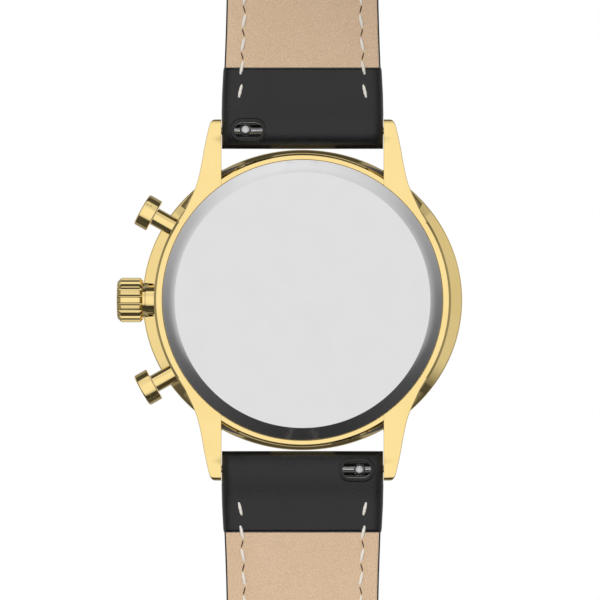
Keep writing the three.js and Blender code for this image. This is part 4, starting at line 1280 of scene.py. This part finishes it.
def stitch(start, end, lift, thickness=THREAD):
    """One visible stitch: a short thread that dips into its hole at each end."""
    start, end, lift = Vector(start), Vector(end), Vector(lift)
    direction = (end - start).normalized()
    aside = direction.cross(lift).normalized()
    rows = []
    steps = 10
    for i in range(steps + 1):
        t = i / steps
        rise = math.sin(math.pi * t) ** 0.5 * 1.05 - 0.62
        swell = 0.62 + 0.38 * math.sin(math.pi * t)
        centre = start.lerp(end, t) + lift * (thickness * rise)
        twist = 0.9 * math.pi * t
        ring = []
        for k in range(10):
            angle = TAU * k / 10
            radius = thickness * swell * (1 + 0.10 * math.cos(2 * (angle - twist * 3)))
            ring.append(
                tuple(centre + aside * (radius * math.cos(angle)) + lift * (radius * 0.8 * math.sin(angle)))
            )
        rows.append(ring)
    return loft(rows)


def stitch_offset(s):
    """How far the seam runs from the strap's middle."""
    return half_width(s) - 2.15 - max(0.0, min(1.0, (s - 5) / 12)) * 0.12


def make_stitches():
    for body, side, first, last in (("strap_12", 1, 4.0, 55.0), ("strap_6", -1, 4.0, 98.0)):
        threads, holes = [], []
        for edge in (1, -1):
            for face in (1, -1):
                s = first
                while s < last:
                    end = s + STITCH
                    x0 = edge * stitch_offset(s)
                    x1 = edge * stitch_offset(end)
                    slant = 0.14
                    surface_at = inner_at if face > 0 else (lambda v: -(outer_at(v) + 0.06))
                    a = strap_point(side, s, x0 + slant * edge * face, surface_at(s))
                    b = strap_point(side, end, x1 - slant * edge * face, surface_at(end))
                    lift = strap_inward(side, s + STITCH / 2) * face
                    threads.append(stitch(a, b, lift, THREAD if s < 38 else THREAD_UNDER_KEEPERS))
                    if face > 0 and end > FOLD_END:
                        # Between the stitches on the wrist side, a thin dark brown line: painted shade of the
                        # stitch holes.
                        gap = end + PITCH - STITCH
                        c = strap_point(side, end + 0.08, x1 - slant * edge * face, surface_at(end))
                        d = strap_point(side, gap - 0.08, x1 * 0.998 + slant * edge * face, surface_at(gap))
                        holes.append(stitch(c, d, lift, 0.075))
                    s += PITCH
        piece(body + "_stitching", threads, materials["thread"], body, slot="lining_leather", sharp=60)
        piece(body + "_stitch_hole_shadows", holes, materials["hole_shadow"], body, slot="lining_leather", sharp=60)


make_stitches()

# ---- Keepers ----

KEEPER_HALF, KEEPER_WALL, KEEPER_LENGTH, KEEPER_ROOM = 8.8, 1.0, 4.6, 2.6


def keeper_loop(at):
    """A leather loop: rounded inside and outside, with a soft edge on each side."""
    below = along_table(INNER, at - KEEPER_LENGTH) + 0.1
    above = along_table(OUTER, at - KEEPER_LENGTH) + KEEPER_ROOM
    wall = KEEPER_WALL
    half = KEEPER_LENGTH / 2

    def loop(grow, shift):
        outline = rounded([
            (-KEEPER_HALF - grow, below + grow, 0.5 + grow),
            (-KEEPER_HALF - grow, -above - grow, 0.5 + grow),
            (KEEPER_HALF + grow, -above - grow, 0.5 + grow),
            (KEEPER_HALF + grow, below + grow, 0.5 + grow),
        ], 8)
        return [strap_point(1, at + shift, x, inward) for x, inward in outline]

    profile = rounded(
        [(0.02, -half, 0.2), (wall - 0.04, -half, 0.42), (wall - 0.04, half, 0.42), (0.02, half, 0.2)], 4
    )
    rows = [loop(grow, shift) for grow, shift in profile]
    return loft(rows, ring=True)


def make_keepers():
    for name, body, at in (("fixed_keeper", "strap_12", 66.0), ("sliding_keeper", "sliding_keeper", 57.3)):
        obj = piece(
            name + "_loop", [keeper_loop(at)], materials["strap_leather"], body, name,
            slot="strap_leather", sharp=50
        )
        obj.visible_glossy = False


make_keepers()

# ---- Buckle ----


def make_buckle():
    outer, wall, far, rod_width = 10.4, 2.0, 11.4, 2.5
    thickness = 1.8
    path = rounded([
        (outer - wall / 2, -1.3), (outer - wall / 2, far - rod_width / 2, 2.2),
        (-outer + wall / 2, far - rod_width / 2, 2.2), (-outer + wall / 2, -1.3)
    ], 10)
    thirds = path[:1]
    for a, b in zip(path, path[1:]):
        thirds.append(((a[0] * 2 + b[0]) / 3, (a[1] * 2 + b[1]) / 3))
        thirds.append(((a[0] + b[0] * 2) / 3, (a[1] + b[1] * 2) / 3))
        thirds.append(b)
    path = thirds
    rows = []
    for i, (x, along) in enumerate(path):
        before = Vector(path[max(0, i - 1)])
        after = Vector(path[min(len(path) - 1, i + 1)])
        ahead = (after - before).normalized()
        aside = Vector((ahead.y, -ahead.x))
        share = min(1.0, max(0.0, (along - (far - rod_width * 2.2)) / (rod_width * 1.2)))
        half = (wall + (rod_width - wall) * share) / 2 - 0.01
        end = i in (0, len(path) - 1)
        corner = 0.3 if end else 0.55
        shape = rounded([
            (-half, -thickness / 2, corner), (half, -thickness / 2, corner),
            (half, thickness / 2, corner), (-half, thickness / 2, corner)
        ], 6)
        rows.append([at_buckle(x + aside.x * u, along + aside.y * u, v) for u, v in shape])
    frame_obj = piece("buckle_frame_polished", [loft(rows)], materials["gold"], None)
    bar_place = along_x(BUCKLE_Y, BUCKLE_Z)
    apply_boolean(frame_obj, tool("bore", rod(0.6, -12, 12, bar_place, 32)), "DIFFERENCE")
    shade(frame_obj, 40)
    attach(frame_obj, "buckle")
    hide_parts("buckle_frame")
    bar = rounded([(0, -10.2), (0.55, -10.2, 0.1), (0.55, 10.2, 0.1), (0, 10.2)])
    piece(
        "buckle_bar_turned", [revolved(bar, 40, bar_place)], materials["polished_steel"], "buckle",
        "buckle_bar", slot="polished_steel"
    )


def make_tongue():
    hub_radius, width = 1.15, 2.2
    rest = 0.95
    rows = []
    stations = [
        (0.9, -0.62, 0.75), (1.6, -0.2, 0.98), (2.4, 0.42, 1.55), (3.2, rest + 0.02, 1.93),
        (5, rest + 0.02, 1.88), (7, rest + 0.01, 1.83), (9, rest, 1.78), (10.0, rest, 1.74),
        (10.5, rest + 0.02, 1.65), (10.8, rest + 0.08, 1.48), (10.96, rest + 0.22, 1.28)
    ]
    for along, low, high in stations:
        half = width / 2 * (1.0 if along < 9 else 1 - 0.16 * ((along - 9) / 2) ** 2) - 0.01
        corner = min(0.28, (high - low) * 0.3)
        shape = rounded(
            [(-half, low, corner), (half, low, corner), (half, high, corner), (-half, high, corner)], 4
        )
        rows.append([at_buckle(x, along, outward) for x, outward in shape])
    hub_part = revolved(
        rounded([
            (0.62, -width / 2), (hub_radius, -width / 2, 0.2), (hub_radius, width / 2, 0.2),
            (0.62, width / 2)
        ]),
        48, along_x(BUCKLE_Y, BUCKLE_Z)
    )
    tongue = piece("tongue_polished", [loft(rows)], materials["gold"], None)
    apply_boolean(tongue, tool("hub", hub_part), "UNION")
    apply_boolean(tongue, tool("bore", rod(0.6, -3, 3, along_x(BUCKLE_Y, BUCKLE_Z), 32)), "DIFFERENCE")
    shade(tongue, 40)
    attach(tongue, "tongue")
    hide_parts("buckle_tongue")


make_buckle()
make_tongue()

# ---- CAD pieces that keep their own shape ----

slot_of = {part["node"]: part["material_slot"] for part in frame["record"]["subparts"]}
look_of = {"gold_case": "gold", "crystal_glass": "crystal"}
for name, node in frame["nodes"].items():
    slot_name = slot_of.get(name)
    if not slot_name or node.hide_render:
        continue
    node.data.materials.clear()
    node.data.materials.append(materials[look_of.get(slot_name, slot_name)])

# ---- Floor ----

FLOOR_RADIUS = 0.24
floor_level = cad_box[0].z - 0.0002
floor_rows = [
    [(radius * math.cos(TAU * i / 96), radius * math.sin(TAU * i / 96), floor_level) for i in range(96)]
    for radius in (0.001, 0.08, 0.16, FLOOR_RADIUS)
]
floor_vertices, floor_faces = loft(floor_rows, capped=False)
floor_mesh = bpy.data.meshes.new("floor")
floor_mesh.from_pydata(floor_vertices, [], floor_faces + [tuple(reversed(range(96)))])
floor = bpy.data.objects.new("floor", floor_mesh)
scene.collection.objects.link(floor)
floor.location.y = (cad_box[0].y + cad_box[1].y) / 2
floor_material, fn, floor_shader, floor_where = surface("floor_pale")
floor_shader.inputs["Base Color"].default_value = (0.9, 0.9, 0.9, 1)
floor_shader.inputs["Roughness"].default_value = 0.9
length = fn.new("VectorMath", operation="LENGTH")
flatten = fn.new("VectorMath", operation="MULTIPLY")
flatten.inputs[1].default_value = (1, 1, 0)
fn.put(flatten.inputs[0], floor_where)
fn.put(length.inputs[0], flatten.outputs[0])
fn.put(floor_shader.inputs["Alpha"], fn.step(length.outputs["Value"], 0.12, FLOOR_RADIUS * 0.97, 1.0, 0.0))
floor.data.materials.append(floor_material)
floor.visible_glossy = False
